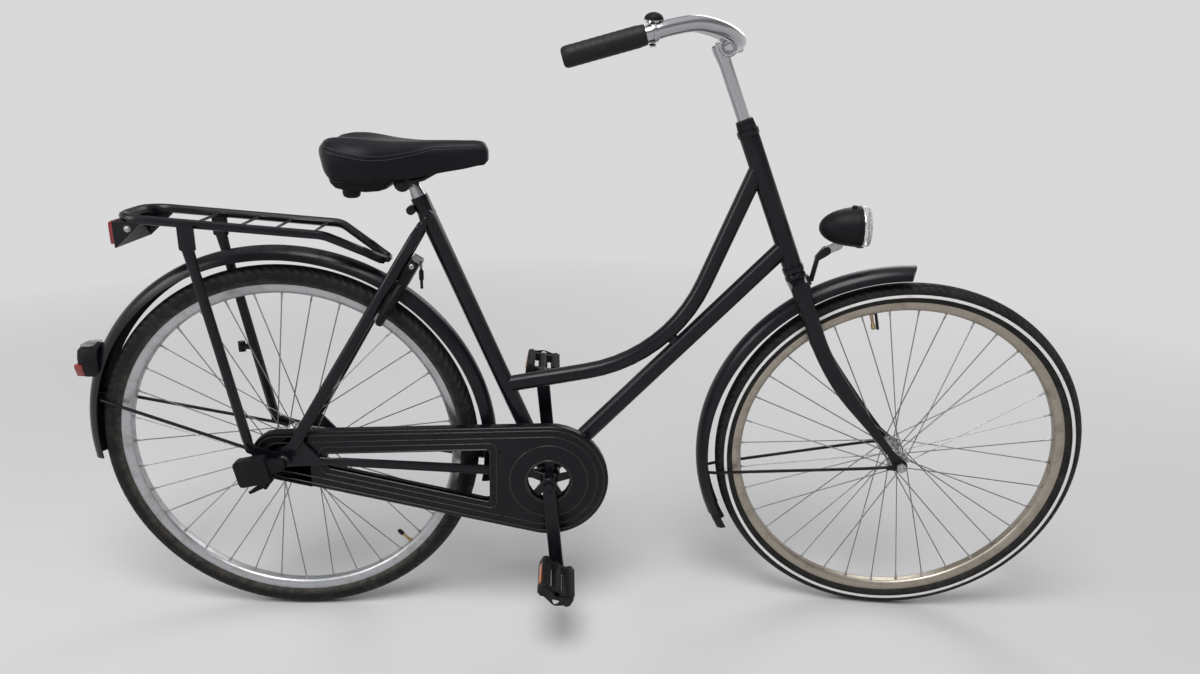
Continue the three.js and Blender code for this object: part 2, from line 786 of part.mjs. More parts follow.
function seatStay(side) {
  const topEye = seatAt(seatTubeLength - seatStayTop);
  const way = stayWay();
  const foot = stayFoot.clone().addScaledVector(way, seatStayFoot);
  const topY = side * seatStayTopY;
  const footY = side * (dropoutY + dropoutThickness + gap + seatStayWidth / 4);
  const atShare = (share, y) => withY(foot.clone().lerp(topEye, share), y);
  const flatWidth = seatStayWidth / 2;
  const mid = topY + (footY - topY) * 0.38;
  return ovalTube([
    { at: atShare(-0.02, footY), depth: seatStayDepth * 0.9, width: flatWidth },
    { at: atShare(0.07, footY), depth: seatStayDepth, width: flatWidth },
    { at: atShare(0.16, topY + (footY - topY) * 0.86), depth: seatStayDepth, width: seatStayWidth },
    { at: atShare(0.66, mid), depth: seatStayDepth * seatStayMiddleShare, width: seatStayWidth },
    { at: atShare(0.94, topY), depth: seatStayDepth * 0.9, width: seatStayWidth },
    { at: atShare(1.03, topY), depth: seatStayDepth * 0.8, width: seatStayWidth },
  ], 10);
}

function headsetCup(low, high) {
  const body = rod(steerAt(low), steerAt(high), cupRadius, cupRadius, 16);
  const bore = rod(steerAt(low - overrun), steerAt(high + overrun), steererRadius + 2 * gap,
    steererRadius + 2 * gap, 16);
  return cut(body, bore);
}

// Mudguards
const guardShares = [-1, -0.8, -0.36, 0.36, 0.8, 1];
const guardFall = (share) => 1 - Math.sqrt(1 - 0.94 * share * share);

// One side of the mudguard's section, flat across its crest
function guardSkin(centre, radius, angle, inset) {
  const crestFall = guardFall(guardShares[3]);
  return guardShares.map((share) => {
    const fall = (guardFall(share) - crestFall) / (guardFall(1) - crestFall);
    const reach = radius - inset - (mudguardDepth - inset) * fall;
    return aroundAxle(centre, reach, angle, share * (mudguardWidth / 2 - inset));
  });
}

function mudguardSection(centre, radius, angle, outerInset, innerInset) {
  const outer = guardSkin(centre, radius, angle, outerInset);
  return [...outer, ...guardSkin(centre, radius, angle, innerInset).reverse()];
}

// The rear mudguard draws in towards its tail
function rearGuardRadius(angle) {
  const share = Math.max(0, (angle - tailTuckFrom) / (rearMudguardEnd - tailTuckFrom));
  return mudguardRadius - tailTuck * share * share;
}

const spread = (from, to, steps) => Array.from({ length: steps + 1 },
  (_, i) => from + (to - from) * i / steps);

function mudguard(centre, radiusAt, from, to, steps, outerInset = 0, innerInset = mudguardThickness) {
  const turns = spread(from, to, steps);
  return loft(turns.map((angle) => mudguardSection(centre, radiusAt(angle), angle, outerInset, innerInset)));
}

const frontGuardCentre = point(wheelbase - frontMudguardBack, 0, tyreRadius);

function frontMudguard() {
  const skin = mudguard(frontGuardCentre, () => frontMudguardRadius, frontMudguardStart,
    frontMudguardEnd, frontGuardSteps);
  const crownFoot = steerAt(crownLow - mudguardBolt / 2);
  const down = frontGuardCentre.clone().sub(crownFoot);
  const reach = down.length() - frontMudguardRadius + 2 * mudguardThickness;
  const boltEnd = crownFoot.clone().addScaledVector(down.normalize(), reach);
  return join(skin, rod(crownFoot, boltEnd, mudguardBolt, mudguardBolt, 8));
}

function mudFlap() {
  const inset = mudguardThickness + 5 * gap;
  return mudguard(frontGuardCentre, () => frontMudguardRadius, frontMudguardEnd - flapLap,
    frontMudguardEnd + flapAngle, 3, inset, inset + flapThickness);
}

// A wire that goes up one side, across inside the mudguard and down the other side
function stayWire(axle, centre, radius, angle, eyeY) {
  const crest = radius - mudguardThickness - stayWireRadius - 2 * gap;
  const side = mudguardWidth / 2 - mudguardThickness - stayWireRadius;
  const mirror = (p) => point(p.x, -p.y, p.z);
  const tabEnd = aroundAxle(axle, stayTabLength, angle);
  const eye = withY(tabEnd, eyeY - stayWireRadius * 0.8);
  const knee = aroundAxle(axle, stayKneeLength, angle, eyeY - stayWireRadius * 1.6);
  const shoulder = aroundAxle(centre, tyreRadius - stayWireRadius, angle, side + gap);
  const neck = aroundAxle(centre, crest - mudguardDepth * 0.45, angle, side * 0.74);
  const corner = aroundAxle(centre, crest, angle, side * 0.25);
  const corners = [
    mirror(eye), mirror(knee), mirror(shoulder), mirror(neck), mirror(corner),
    corner, neck, shoulder, knee, eye,
  ];
  const wire = tube(corners, stayWireRadius, wireSides);
  const half = stayEyeThickness / 2;
  const tab = hullOutline([
    [axle.x, axle.z, stayEyeRadius], [tabEnd.x, tabEnd.z, stayEyeRadius / 2],
  ], 8);
  const eyes = sides.map((s) => sidePlate(tab, s * eyeY - half, s * eyeY + half));
  const bores = sides.map((s) => crossRod(axle.x, axle.z, s * eyeY - overrun / 2, s * eyeY + overrun / 2,
    clear(rearHub.axleRadius)));
  return cut(join(wire, ...eyes), ...bores);
}

function axleWithNuts(axle, radius, rightEnd, leftEnd, seatY) {
  const shaft = crossRod(axle.x, axle.z, -rightEnd, leftEnd, radius, 8);
  const nuts = sides.map((s) => {
    const low = Math.min(s * seatY, s * (seatY + axleNutHeight));
    return crossRod(axle.x, axle.z, low, low + axleNutHeight, axleNutRadius, wireSides);
  });
  return join(shaft, ...nuts);
}

// Luggage rack
function rackNose() {
  return lockPoint(0, lock.ringRadius + rackNoseAbove, -rackNoseBehind);
}

function rackTubeRoute() {
  const rear = point(-rackRear, 0, rackHeight);
  const knee = point(rackBendX, 0, rackHeight - rackDrop);
  const nose = rackNose();
  const wide = rackHalfWidth;
  return rounded([
    withY(nose, -rackFrontY), withY(knee, -wide), withY(rear, -wide),
    withY(rear, wide), withY(knee, wide), withY(nose, rackFrontY),
  ], rackCorner, bendSteps);
}

function rackPlatform() {
  const slope = rackDrop / (rackBendX + rackRear);
  const wireZ = (x) => rackHeight - (x + rackRear) * slope;
  const wires = rackWirePlaces.map((x) => crossRod(x, wireZ(x), -rackHalfWidth, rackHalfWidth,
    rackWireRadius, wireSides));
  const nose = rackNose();
  const bracketPlate = box(nose.x - 2 * rackTubeRadius, nose.x + rackTubeRadius, -rackFrontY, rackFrontY,
    nose.z - rackTubeRadius / 2, nose.z + rackTubeRadius / 2);
  const top = rackHeight - rackPlate.drop;
  const rearPlate = box(-rackRear - rackTubeRadius / 2 - rackPlate.thickness, -rackRear - rackTubeRadius / 2,
    -rackPlate.halfWidth, rackPlate.halfWidth, top - rackPlate.height, top);
  const cheeks = sides.map((side) => {
    const cheek = new THREE.Shape();
    cheek.moveTo(-rackRear - rackTubeRadius / 2, top);
    cheek.lineTo(-rackRear - rackTubeRadius / 2, top - rackPlate.height);
    cheek.lineTo(-rackRear + rackPlate.height, top);
    const inY = side * rackPlate.halfWidth;
    return sidePlate(cheek, Math.min(inY, inY - side * rackPlate.thickness),
      Math.max(inY, inY - side * rackPlate.thickness));
  });
  return join(tube(rackTubeRoute(), rackTubeRadius, 8), ...wires, bracketPlate, rearPlate, ...cheeks);
}

const rackLegTopZ = rackHeight - (rackRear - rackLegTopX) * rackDrop / (rackBendX + rackRear);

function rackLeg(side) {
  const topZ = rackLegTopZ;
  const inY = side * (rackHalfWidth + rackTubeRadius + gap);
  const outY = inY + side * rackLegPlate.thickness;
  const plateBottom = topZ - rackLegPlate.height;
  const half = rackLegPlate.width / 2;
  const plate = sidePlate(roundedRectangle(-rackLegTopX - half, -rackLegTopX + half, plateBottom, topZ,
    half / 3), Math.min(inY, outY), Math.max(inY, outY));
  const middleY = (inY + outY) / 2;
  const foot = point(-rackFootBack, middleY, tyreRadius + rackFootRise);
  const head = point(-rackLegTopX, middleY, plateBottom + rackLegRadius / 2);
  const depth = 2 * rackLegRadius;
  const at = (share) => foot.clone().lerp(head, share);
  const leg = ovalTube([
    { at: at(0), depth, width: rackLegPlate.thickness },
    { at: at(0.06), depth, width: depth },
    { at: at(0.9), depth, width: depth },
    { at: at(1), depth: rackLegPlate.width * 0.8, width: rackLegPlate.thickness },
  ], 10);
  const low = Math.min(side * rackStrapY, side * (rackStrapY + rackLegPlate.thickness));
  const strap = sidePlate(hullOutline([
    [-rackFootBack, tyreRadius + rackFootRise, rackLegRadius],
    [rearAxle.x, rearAxle.z, dropoutRadius * 0.7],
  ]), low, low + rackLegPlate.thickness);
  const bore = crossRod(rearAxle.x, rearAxle.z, low - overrun, low + overrun, clear(rearHub.axleRadius));
  return cut(join(plate, leg, strap), bore);
}

function pumpClipOn() {
  const topZ = rackLegTopZ - rackLegPlate.height;
  const middleY = rackHalfWidth + rackTubeRadius + gap + rackLegPlate.thickness / 2;
  const foot = point(-rackFootBack, middleY, tyreRadius + rackFootRise);
  const place = foot.clone().lerp(point(-rackLegTopX, middleY, topZ), pumpClip.share);
  const back = place.x - rackLegRadius - pumpClip.length / 2;
  const arm = rod(point(back, middleY, place.z), point(place.x, middleY, place.z), pumpClip.radius,
    pumpClip.radius, 8);
  const peg = rod(point(back, middleY, place.z - pumpClip.radius * 1.6),
    point(back, middleY, place.z + pumpClip.radius * 1.6), pumpClip.radius * 1.2, pumpClip.radius * 1.2, 8);
  return join(arm, peg);
}

function rearReflector() {
  const top = rackHeight - rackPlate.drop - reflector.rim;
  const face = -rackRear - rackTubeRadius / 2 - rackPlate.thickness - gap;
  const outline = roundedRectangle(-reflector.halfWidth, reflector.halfWidth, top - reflector.height, top,
    reflector.rim * 2);
  const settings = {
    depth: reflector.depth - reflector.rim, bevelEnabled: true, bevelSize: -reflector.rim / 2,
    bevelThickness: reflector.rim, bevelSegments: 1, curveSegments: 2 };
  const plate = new THREE.ExtrudeGeometry(outline, settings);
  plate.translate(0, 0, reflector.rim).rotateX(Math.PI / 2).rotateZ(-Math.PI / 2);
  plate.computeBoundingBox();
  return plate.translate(face - plate.boundingBox.max.x, 0, 0);
}

// Tail lamp in a frame of its own: x away from the mudguard, y across, z up
function tailLampPieces() {
  const { height, halfWidth, depth, lensHeight, lensDepth } = tailLamp;
  const back = aroundAxle(rearAxle, rearGuardRadius(tailLamp.angle), tailLamp.angle);
  const low = back.z - height / 2;
  const outlineAt = (share, inset) => ring(1, 10, Math.PI / 10).map((p) => {
    const y = (halfWidth - inset) * Math.sign(p.x) * Math.sqrt(Math.abs(p.x));
    return point(back.x - share * depth, y, low + height / 2 + (height / 2 - inset) * p.y);
  });
  const shellLoops = [outlineAt(-0.5, 0), outlineAt(0.55, 0), outlineAt(1, tailLamp.taper)];
  const shell = loft(shellLoops);
  const lensCut = box(back.x - depth - overrun, back.x - depth * 0.62, -halfWidth - overrun,
    halfWidth + overrun, low - overrun, low + lensHeight);
  const lensSpace = box(back.x - depth - overrun, back.x - depth * 0.62 - gap, -halfWidth - overrun,
    halfWidth + overrun, low - overrun, low + lensHeight - gap);
  const lensLoops = [outlineAt(0.5, 0), outlineAt(1 + lensDepth / depth, 1)];
  return {
    body: cut(shell, rearGuardFilled(), lensCut),
    lens: common(loft(lensLoops), lensSpace),
  };
}

// All that lies inside the rear mudguard, and a gap round it
function rearGuardFilled() {
  const half = mudguardWidth / 2;
  return loft(spread(rearMudguardStart, rearMudguardEnd, rearGuardSteps).map((angle) => {
    const radius = rearGuardRadius(angle);
    const inside = [half, -half].map((y) => aroundAxle(rearAxle, radius / 2, angle, y));
    return [...guardSkin(rearAxle, radius, angle, -gap), ...inside];
  }));
}

// Chain drive
function toothedOutline(centre, teeth, phase) {
  const pitchRadius = chainPitch / (2 * Math.sin(Math.PI / teeth));
  const root = pitchRadius - toothHeight;
  const tip = pitchRadius + toothHeight * 0.5;
  const step = fullTurn / teeth;
  const shareOfStep = [[-0.25, root], [0, tip], [0.25, root]];
  const points = [];
  for (let i = 0; i < teeth; i += 1) {
    shareOfStep.forEach(([share, radius]) => {
      const angle = (i + share) * step + phase;
      points.push(flat(centre.x + radius * Math.cos(angle), centre.z + radius * Math.sin(angle)));
    });
  }
  return { shape: new THREE.Shape(points), root, pitchRadius };
}

const toothLow = -chainLine - toothThickness / 2;
const toothHigh = -chainLine + toothThickness / 2;
const ringPitchRadius = chainPitch / (2 * Math.sin(Math.PI / ringTeeth));
const sprocketPitchRadius = chainPitch / (2 * Math.sin(Math.PI / sprocketTeeth));
const caseRadius = ringPitchRadius + chainHeight / 2 + caseChainRoom.front;
const caseRearRadius = sprocketPitchRadius + chainHeight / 2 + caseChainRoom.rear;

function chainring() {
  const { shape, root } = toothedOutline(bracket, ringTeeth, 0);
  shape.holes.push(new THREE.Path(roundPlate(bracket.x, bracket.z, root - ringBandWidth, 24)));
  const band = sidePlate(shape, toothLow, toothHigh);
  const arms = Array.from({ length: spiderArms }, (_, i) => {
    const angle = radians(spiderTurn) + i * fullTurn / spiderArms;
    const reach = root - ringBandWidth / 2 - gap;
    return sidePlate(hullOutline([
      [bracket.x, bracket.z, spiderArmWidth * 0.8],
      [bracket.x + reach * Math.cos(angle), bracket.z + reach * Math.sin(angle), spiderArmWidth / 2],
    ], 8), toothLow - toothThickness / 2, toothHigh);
  });
  const hub = crossRod(bracket.x, bracket.z, -crankInnerY + gap, toothHigh, spiderHub, 16);
  const bore = crossRod(bracket.x, bracket.z, -crankInnerY - overrun, toothHigh + overrun,
    clear(spindleRadius));
  return cut(join(band, ...arms, hub), bore);
}

function sprocket() {
  const { shape } = toothedOutline(rearAxle, sprocketTeeth, 0);
  const disc = sidePlate(shape, toothLow, toothHigh);
  const bore = crossRod(rearAxle.x, rearAxle.z, -caseOuterY, -caseInnerY + overrun / 2,
    clear(rearHub.axleRadius));
  return cut(disc, bore);
}

// The angles, from straight ahead, where a straight line touches both the front and the rear circle
function beltTouch(big, small, rear) {
  const between = bracket.clone().sub(rear);
  const lean = Math.atan2(between.z, between.x);
  const spread = Math.acos((small - big) / between.length());
  return { high: lean + spread, low: lean - spread };
}

// A closed line round the bracket and a rear circle, like that of a belt
function beltLoop(big, small, rear, bigSteps, smallSteps) {
  const { high, low } = beltTouch(big, small, rear);
  const arc = (centre, radius, from, to, count) => Array.from({ length: count + 1 }, (_, i) => {
    const angle = from + (to - from) * i / count;
    return flat(centre.x + radius * Math.cos(angle), centre.z + radius * Math.sin(angle));
  });
  return [...arc(bracket, big, low, high, bigSteps), ...arc(rear, small, high, low + fullTurn, smallSteps)];
}

// The chain as one closed channel: two side plates and the backs of the links, over the teeth
function driveChain() {
  const half = chainHeight / 2;
  const loop = (offset) => beltLoop(ringPitchRadius + offset, sprocketPitchRadius + offset, rearAxle, 18, 8);
  const full = new THREE.Shape(loop(half));
  full.holes.push(new THREE.Path(loop(-half)));
  const body = sidePlate(full, -chainLine - chainWidth / 2, -chainLine + chainWidth / 2);
  const groove = new THREE.Shape(loop(half - chainPlate));
  const slotHalf = chainWidth / 2 - chainPlate;
  return cut(body, sidePlate(groove, -chainLine - slotHalf, -chainLine + slotHalf));
}

// Chain case: two pressed covers round the chain, open in the middle, and a moulded end
const caseRear = point(-caseRearBack, 0, tyreRadius);

function caseOutline(inset) {
  return beltLoop(caseRadius - inset, caseRearRadius - inset, caseRear, 20, 8);
}

function caseWindow(grow) {
  const { front, back, corner, highBand, lowBand } = caseOpening;
  const touch = beltTouch(caseRadius, caseRearRadius, caseRear);
  const edge = (x, band, angle) => {
    const radius = caseRearRadius - band;
    const rise = x - caseRear.x - radius * Math.cos(angle);
    return caseRear.z + radius * Math.sin(angle) - rise * Math.cos(angle) / Math.sin(angle);
  };
  const left = back - grow;
  const right = front + grow;
  const high = (x) => edge(x, highBand, touch.high) + grow;
  const low = (x) => edge(x, lowBand, touch.low) - grow;
  const window = new THREE.Path();
  window.moveTo(left, (high(left) + low(left)) / 2);
  window.quadraticCurveTo(left, low(left), left + corner, low(left + corner));
  window.lineTo(right - corner, low(right - corner));
  window.quadraticCurveTo(right, low(right), right, low(right) + corner);
  window.lineTo(right, high(right) - corner);
  window.quadraticCurveTo(right, high(right), right - corner, high(right - corner));
  window.lineTo(left + corner, high(left + corner));
  window.quadraticCurveTo(left, high(left), left, (high(left) + low(left)) / 2);
  return window.getPoints(2);
}

function caseCover(outerY, splitY, holeRadius) {
  const low = Math.min(outerY, splitY);
  const high = Math.max(outerY, splitY);
  const plate = new THREE.Shape(caseOutline(0));
  plate.holes.push(new THREE.Path(caseWindow(0)));
  plate.holes.push(new THREE.Path(roundPlate(bracket.x, bracket.z, holeRadius, 18)));
  const hollow = new THREE.Shape(caseOutline(caseWall));
  hollow.holes.push(new THREE.Path(caseWindow(caseWall)));
  const inward = outerY < splitY ? [low + caseWall, high + overrun] : [low - overrun, high - caseWall];
  return cut(sidePlate(plate, low, high), sidePlate(hollow, inward[0], inward[1]));
}

function caseOuter() {
  const cover = caseCover(-caseOuterY, -caseSplitY - gap / 2, caseHoleRadius);
  const { radius, width, height, inset } = caseRib;
  const rib = (outline, hole) => {
    const shape = new THREE.Shape(outline);
    shape.holes.push(new THREE.Path(hole));
    return sidePlate(shape, -caseOuterY - height, -caseOuterY + caseWall / 2);
  };
  const roundRib = rib(roundPlate(bracket.x, bracket.z, radius, 24),
    roundPlate(bracket.x, bracket.z, radius - width, 24));
  const edgeRib = rib(caseOutline(inset), caseOutline(inset + width));
  const windowRib = rib(caseWindow(inset + width), caseWindow(inset));
  const ends = box(-overrun * 4, caseCapSplit + gap / 2, -caseOuterY - overrun, -caseInnerY + overrun, 0,
    2 * tyreRadius);
  return cut(join(cover, roundRib, edgeRib, windowRib), ends);
}

function caseInner() {
  const cover = caseCover(-caseInnerY, -caseSplitY + gap / 2, caseHoleRadius);
  const ends = box(-overrun * 4, caseCapSplit + gap / 2, -caseOuterY - overrun, -caseInnerY + overrun, 0,
    2 * tyreRadius);
  return cut(cover, ends);
}

function caseCap() {
  const outline = new THREE.Shape(caseOutline(0));
  const inner = new THREE.Shape(caseOutline(caseWall));
  const whole = sidePlate(outline, -caseOuterY, -caseInnerY);
  const space = sidePlate(inner, -caseOuterY + caseWall, -caseInnerY - caseWall);
  const axleHole = crossRod(rearAxle.x, rearAxle.z, -caseOuterY - overrun, -caseInnerY + overrun,
    rearHub.capRadius + 4 * gap, 16);
  const ahead = box(caseCapSplit - gap / 2, 2 * bracketReach, -caseOuterY - overrun, -caseInnerY + overrun,
    0, 2 * tyreRadius);
  return cut(whole, space, axleHole, ahead);
}

// Cranks
function crankArm(side, way) {
  const hubY = side * (crankInnerY + crankThickness / 2);
  const end = point(bracket.x + way * crankLength * Math.sin(radians(crankAngle)), hubY,
    bracket.z - way * crankLength * Math.cos(radians(crankAngle)));
  const start = withY(bracket, hubY);
  const at = (share) => start.clone().lerp(end, share);
  const arm = ovalTube([
    { at: at(0.02), depth: crankHubRadius * 1.5, width: crankThickness },
    { at: at(0.16), depth: crankEndRadius * 1.85, width: crankThickness },
    { at: at(0.98), depth: crankEndRadius * 1.8, width: crankThickness * 0.85 },
  ], 8);
  const low = hubY - crankThickness / 2;
  const high = hubY + crankThickness / 2;
  const hub = crossRod(bracket.x, bracket.z, low, high, crankHubRadius, 16);
  const eye = crossRod(end.x, end.z, low, high, crankEndRadius, 12);
  const bore = crossRod(bracket.x, bracket.z, low - overrun, high + overrun, clear(spindleRadius), 12);
  const axleOut = side * (crankInnerY + crankThickness + pedal.clearance + pedal.length);
  const axle = crossRod(end.x, end.z, Math.min(hubY, axleOut), Math.max(hubY, axleOut), pedalAxleRadius, 8);
  return { geometry: join(cut(join(arm, hub, eye), bore), axle), end };
}

function crankSpindle() {
  const outY = crankInnerY + crankThickness + crankBoltHead;
  return crossRod(bracket.x, bracket.z, -outY, outY, spindleRadius, 12);
}

function pedalBody(side, end, turn) {
  const innerY = crankInnerY + crankThickness + pedal.clearance;
  const outerY = innerY + pedal.length;
  const half = pedal.depth / 2;
  const high = pedal.height / 2;
  const block = (low, top) => roundedRectangle(low, top, -high, high, pedal.corner);
  const low = Math.min(side * innerY, side * outerY);
  const up = Math.max(side * innerY, side * outerY);
  const blocks = [
    sidePlate(block(-half, -half + pedal.blockDepth), low, up, 1),
    sidePlate(block(half - pedal.blockDepth, half), low, up, 1),
  ];
  const lean = roundedRectangle(-half + pedal.corner, half - pedal.corner, -high * 0.6, high * 0.6,
    pedal.corner / 2);
  const plates = [
    sidePlate(lean, low, low + pedal.plateThickness, 1),
    sidePlate(lean, up - pedal.plateThickness, up, 1),
  ];
  const noseHull = (inset) => hullOutline([
    [-half + pedal.corner, side * (outerY - pedal.corner), pedal.corner - inset],
    [half - pedal.corner, side * (outerY - pedal.corner), pedal.corner - inset],
    [0, side * (outerY + pedal.nose - pedal.noseRadius), pedal.noseRadius - inset],
  ]);
  const nose = (inset, reach) => sidePlate(noseHull(inset), -reach, reach).rotateX(-Math.PI / 2);
  const cap = cut(nose(0, high * 0.62), nose(pedal.noseWall, high));
  const barrel = crossRod(0, 0, low, up, pedal.barrelRadius, 10);
  const bore = crossRod(0, 0, low - overrun, up + overrun, clear(pedalAxleRadius, 8), 8);
  const body = cut(join(...blocks, ...plates, barrel, cap), bore);
  return body.rotateY(radians(turn)).translate(end.x, 0, end.z);
}

// Gear box on the axle end, with its lever
function gearBoxBody() {
  const { back, drop, width, height, inY, outY, corner, turn } = gearBox;
  const shell = sidePlate(roundedRectangle(-width / 2, width / 2, -height / 2, height / 2, corner), -outY, -inY,
    2);
  shell.rotateY(radians(turn)).translate(rearAxle.x - back, 0, rearAxle.z - drop);
  const neck = sidePlate(hullOutline([
    [rearAxle.x, rearAxle.z, gearBoxNeck.radius],
    [rearAxle.x - back, rearAxle.z - drop, gearBoxNeck.radius * 1.6],
  ]), -outY + corner, -inY);
  const bore = crossRod(rearAxle.x, rearAxle.z, -inY - gearBoxNeck.depth - gap, -inY + overrun,
    clear(rearHub.axleRadius));
  const pivot = gearLeverPivot();
  const ears = leverEars(pivot);
  return join(cut(join(shell, neck), bore), ...ears);
}

// Two ears and a pin that hold the lever
function leverEars(pivot) {
  const middle = -(gearBox.inY + gearBox.outY) / 2;
  const reach = gearLever.thickness / 2 + gap;
  const earThickness = 2.5;
  const ears = sides.map((side) => {
    const y = middle + side * (reach + earThickness / 2);
    return sidePlate(hullOutline([
      [pivot.x, pivot.z, gearLever.width / 2],
      [pivot.x - gearLever.width / 2, pivot.z + gearLever.width * 1.4, gearLever.width / 2],
    ], 8), y - earThickness / 2, y + earThickness / 2);
  });
  return [...ears, crossRod(pivot.x, pivot.z, middle - reach - earThickness / 2,
    middle + reach + earThickness / 2, gearLever.pin, 8)];
}

function gearLeverPivot() {
  return point(rearAxle.x - gearBox.back + gearLever.pivotForward, 0,
    rearAxle.z - gearBox.drop - gearBox.height / 2 - gearLever.width / 2 - 2 * gap);
}

function gearLeverArm() {
  const pivot = gearLeverPivot();
  const middle = -(gearBox.inY + gearBox.outY) / 2;
  const low = middle - gearLever.thickness / 2;
  const high = middle + gearLever.thickness / 2;
  const tip = point(pivot.x - gearLever.length * 0.88, 0, pivot.z - gearLever.length * 0.4);
  const bend = point(pivot.x - gearLever.length * 0.4, 0, pivot.z - gearLever.length * 0.33);
  const near = sidePlate(hullOutline([
    [pivot.x, pivot.z, gearLever.width / 2], [bend.x, bend.z, gearLever.width * 0.42],
  ], 8), low, high);
  const far = sidePlate(hullOutline([
    [bend.x, bend.z, gearLever.width * 0.42], [tip.x, tip.z, gearLever.width * 0.2],
  ], 8), low, high);
  const bore = crossRod(pivot.x, pivot.z, low - overrun, high + overrun, clear(gearLever.pin, 8), 8);
  return cut(join(near, far), bore);
}

function coasterArm() {
  const { length, drop, width, thickness, y, clipHalf } = brakeArm;
  const end = point(rearAxle.x + length, 0, rearAxle.z - drop);
  const strap = sidePlate(hullOutline([
    [rearAxle.x, rearAxle.z, width], [end.x, end.z, width / 2],
  ]), y - thickness / 2, y + thickness / 2);
  const stayZ = rearAxle.z + (bracket.z - rearAxle.z) * (length / bracketReach);
  const clip = box(end.x - clipHalf, end.x + clipHalf, y - chainStayWidth - thickness, y + thickness * 1.5,
    end.z - width / 4, stayZ + chainStayHeight / 2 + thickness);
  const bore = crossRod(rearAxle.x, rearAxle.z, y - overrun, y + overrun, clear(rearHub.axleRadius));
  return cut(join(strap, clip), bore, chainStay(1, gap));
}

// Seat post with the barrel that the saddle frame clamps on
const postTop = seatAt(seatTubeLength + postVisible + postTaper + postHead);
const clampCentre = point(postTop.x - clampBarrel.back, 0, postTop.z);

// Saddle
const saddleRear = clampCentre.x - saddle.behindClamp;
const saddleTop = clampCentre.z + saddle.aboveClamp;
const saddleShares = [
  { along: 0, width: 0.66, top: 0.3, low: 0.7, dip: 0.1 },
  { along: 0.045, width: 0.86, top: 0.12, low: 0.93, dip: 0.12 },
  { along: 0.12, width: 0.98, top: 0.02, low: 1, dip: 0.13 },
  { along: 0.22, width: 1, top: 0, low: 1, dip: 0.12 },
  { along: 0.34, width: 0.9, top: 0.05, low: 1, dip: 0.08 },
  { along: 0.46, width: 0.66, top: 0.11, low: 0.975, dip: 0.04 },
  { along: 0.58, width: 0.42, top: 0.13, low: 0.92, dip: 0 },
  { along: 0.72, width: 0.28, top: 0.12, low: 0.83, dip: 0 },
  { along: 0.86, width: 0.225, top: 0.11, low: 0.735, dip: 0 },
  { along: 0.95, width: 0.2, top: 0.12, low: 0.67, dip: 0 },
  { along: 0.985, width: 0.175, top: 0.14, low: 0.64, dip: 0 },
  { along: 1, width: 0.13, top: 0.2, low: 0.58, dip: 0 },
];
const saddleSkirtShare = 0.84;

function saddleLoop({ along, width, top, low, dip }) {
  const x = saddleRear + saddle.length * along;
  const half = saddle.halfWidth * width;
  const bottom = saddleTop - saddle.depth * low;
  const depth = saddle.depth * (low - top);
  const loopShares = [
    [0, 1 - dip], [0.3, 1 - dip / 2], [0.55, 1 - dip / 8], [0.78, 0.93], [0.94, 0.76], [1, 0.52],
    [0.95, 0.26], [0.86, 0],
  ];
  const right = loopShares.map(([y, z]) => point(x, -y * half, bottom + z * depth));
  const left = loopShares.slice(1).reverse().map(([y, z]) => point(x, y * half, bottom + z * depth));
  return [...right, ...left];
}

// A flat layer inside the saddle, from its rear to its nose
function saddleLayer(highShare, lowShare, inset) {
  return loft(saddleShares.slice(1, -1).map(({ along, width, low }) => {
    const x = saddleRear + saddle.length * along;
    const half = saddle.halfWidth * width * saddleSkirtShare - inset;
    const edge = saddleTop - saddle.depth * low;
    const high = edge + highShare * saddle.hollow;
    const bottom = edge + lowShare * saddle.hollow;
    return [point(x, -half, bottom), point(x, -half, high), point(x, half, high), point(x, half, bottom)];
  }));
}

function saddleCover() {
  const outside = loft(saddleShares.map((share) => saddleLoop(share)));
  return cut(outside, saddleLayer(1, -1, 0));
}

function saddleBase() {
  const highShare = 1 - gap / saddle.hollow;
  const plate = saddleLayer(highShare, highShare - saddle.plate / saddle.hollow, gap);
  const x = saddleRear + saddle.bumperForward;
  const top = saddleTop - saddle.depth + saddle.hollow - saddle.plate / 2;
  const y = 2 * saddleRailY + 2 * railRadius + saddle.bumperRadius;
  const bumpers = sides.map((side) => rod(point(x, side * y, saddleTop - saddle.depth - saddle.bumperDrop),
    point(x, side * y, top), saddle.bumperRadius, saddle.bumperRadius, 16));
  return join(plate, ...bumpers);
}

// Handlebar in the straight-ahead position
const stemTop = steerAt(stemRise);
const barCentre = point(stemTop.x + stemForward, 0, stemTop.z + stemLift);
const barShares = [
  [0, 0, 0], [0, 0.0879, 0], [0.0251, 0.2176, 0.0126], [0.0418, 0.3515, 0.0335],
  [0, 0.5105, 0.0669], [-0.1004, 0.6611, 0.1088], [-0.251, 0.795, 0.1339], [-0.4017, 0.887, 0.1088],
  [-0.5523, 0.9456, 0.0628], [-0.8201, 0.9749, -0.0209], [-1.0377, 1, -0.0837],
];

function barRoute() {
  const turn = (share, side) => point(share[0], side * share[1], share[2]).multiplyScalar(barHalf)
    .add(barCentre);
  const right = barShares.map((share) => turn(share, -1));
  const left = barShares.slice(1).map((share) => turn(share, 1));
  return [...right.reverse(), ...left];
}

function handlebar() {
  return tube(barRoute(), barRadius, 10);
}

function grip(side) {
  const route = barRoute();
  const list = side < 0 ? route : route.slice().reverse();
  const end = list[0].clone();
  const inward = list[2].clone().sub(end).normalize();
  const outer = end.clone().addScaledVector(inward, -gripCap);
  const inner = end.clone().addScaledVector(inward, gripLength - gripCap);
  const body = rod(outer, inner, gripRadius, gripRadius, 14);
  const bore = tube(route, barRadius + gripBore, 10);
  return cut(body, bore);
}

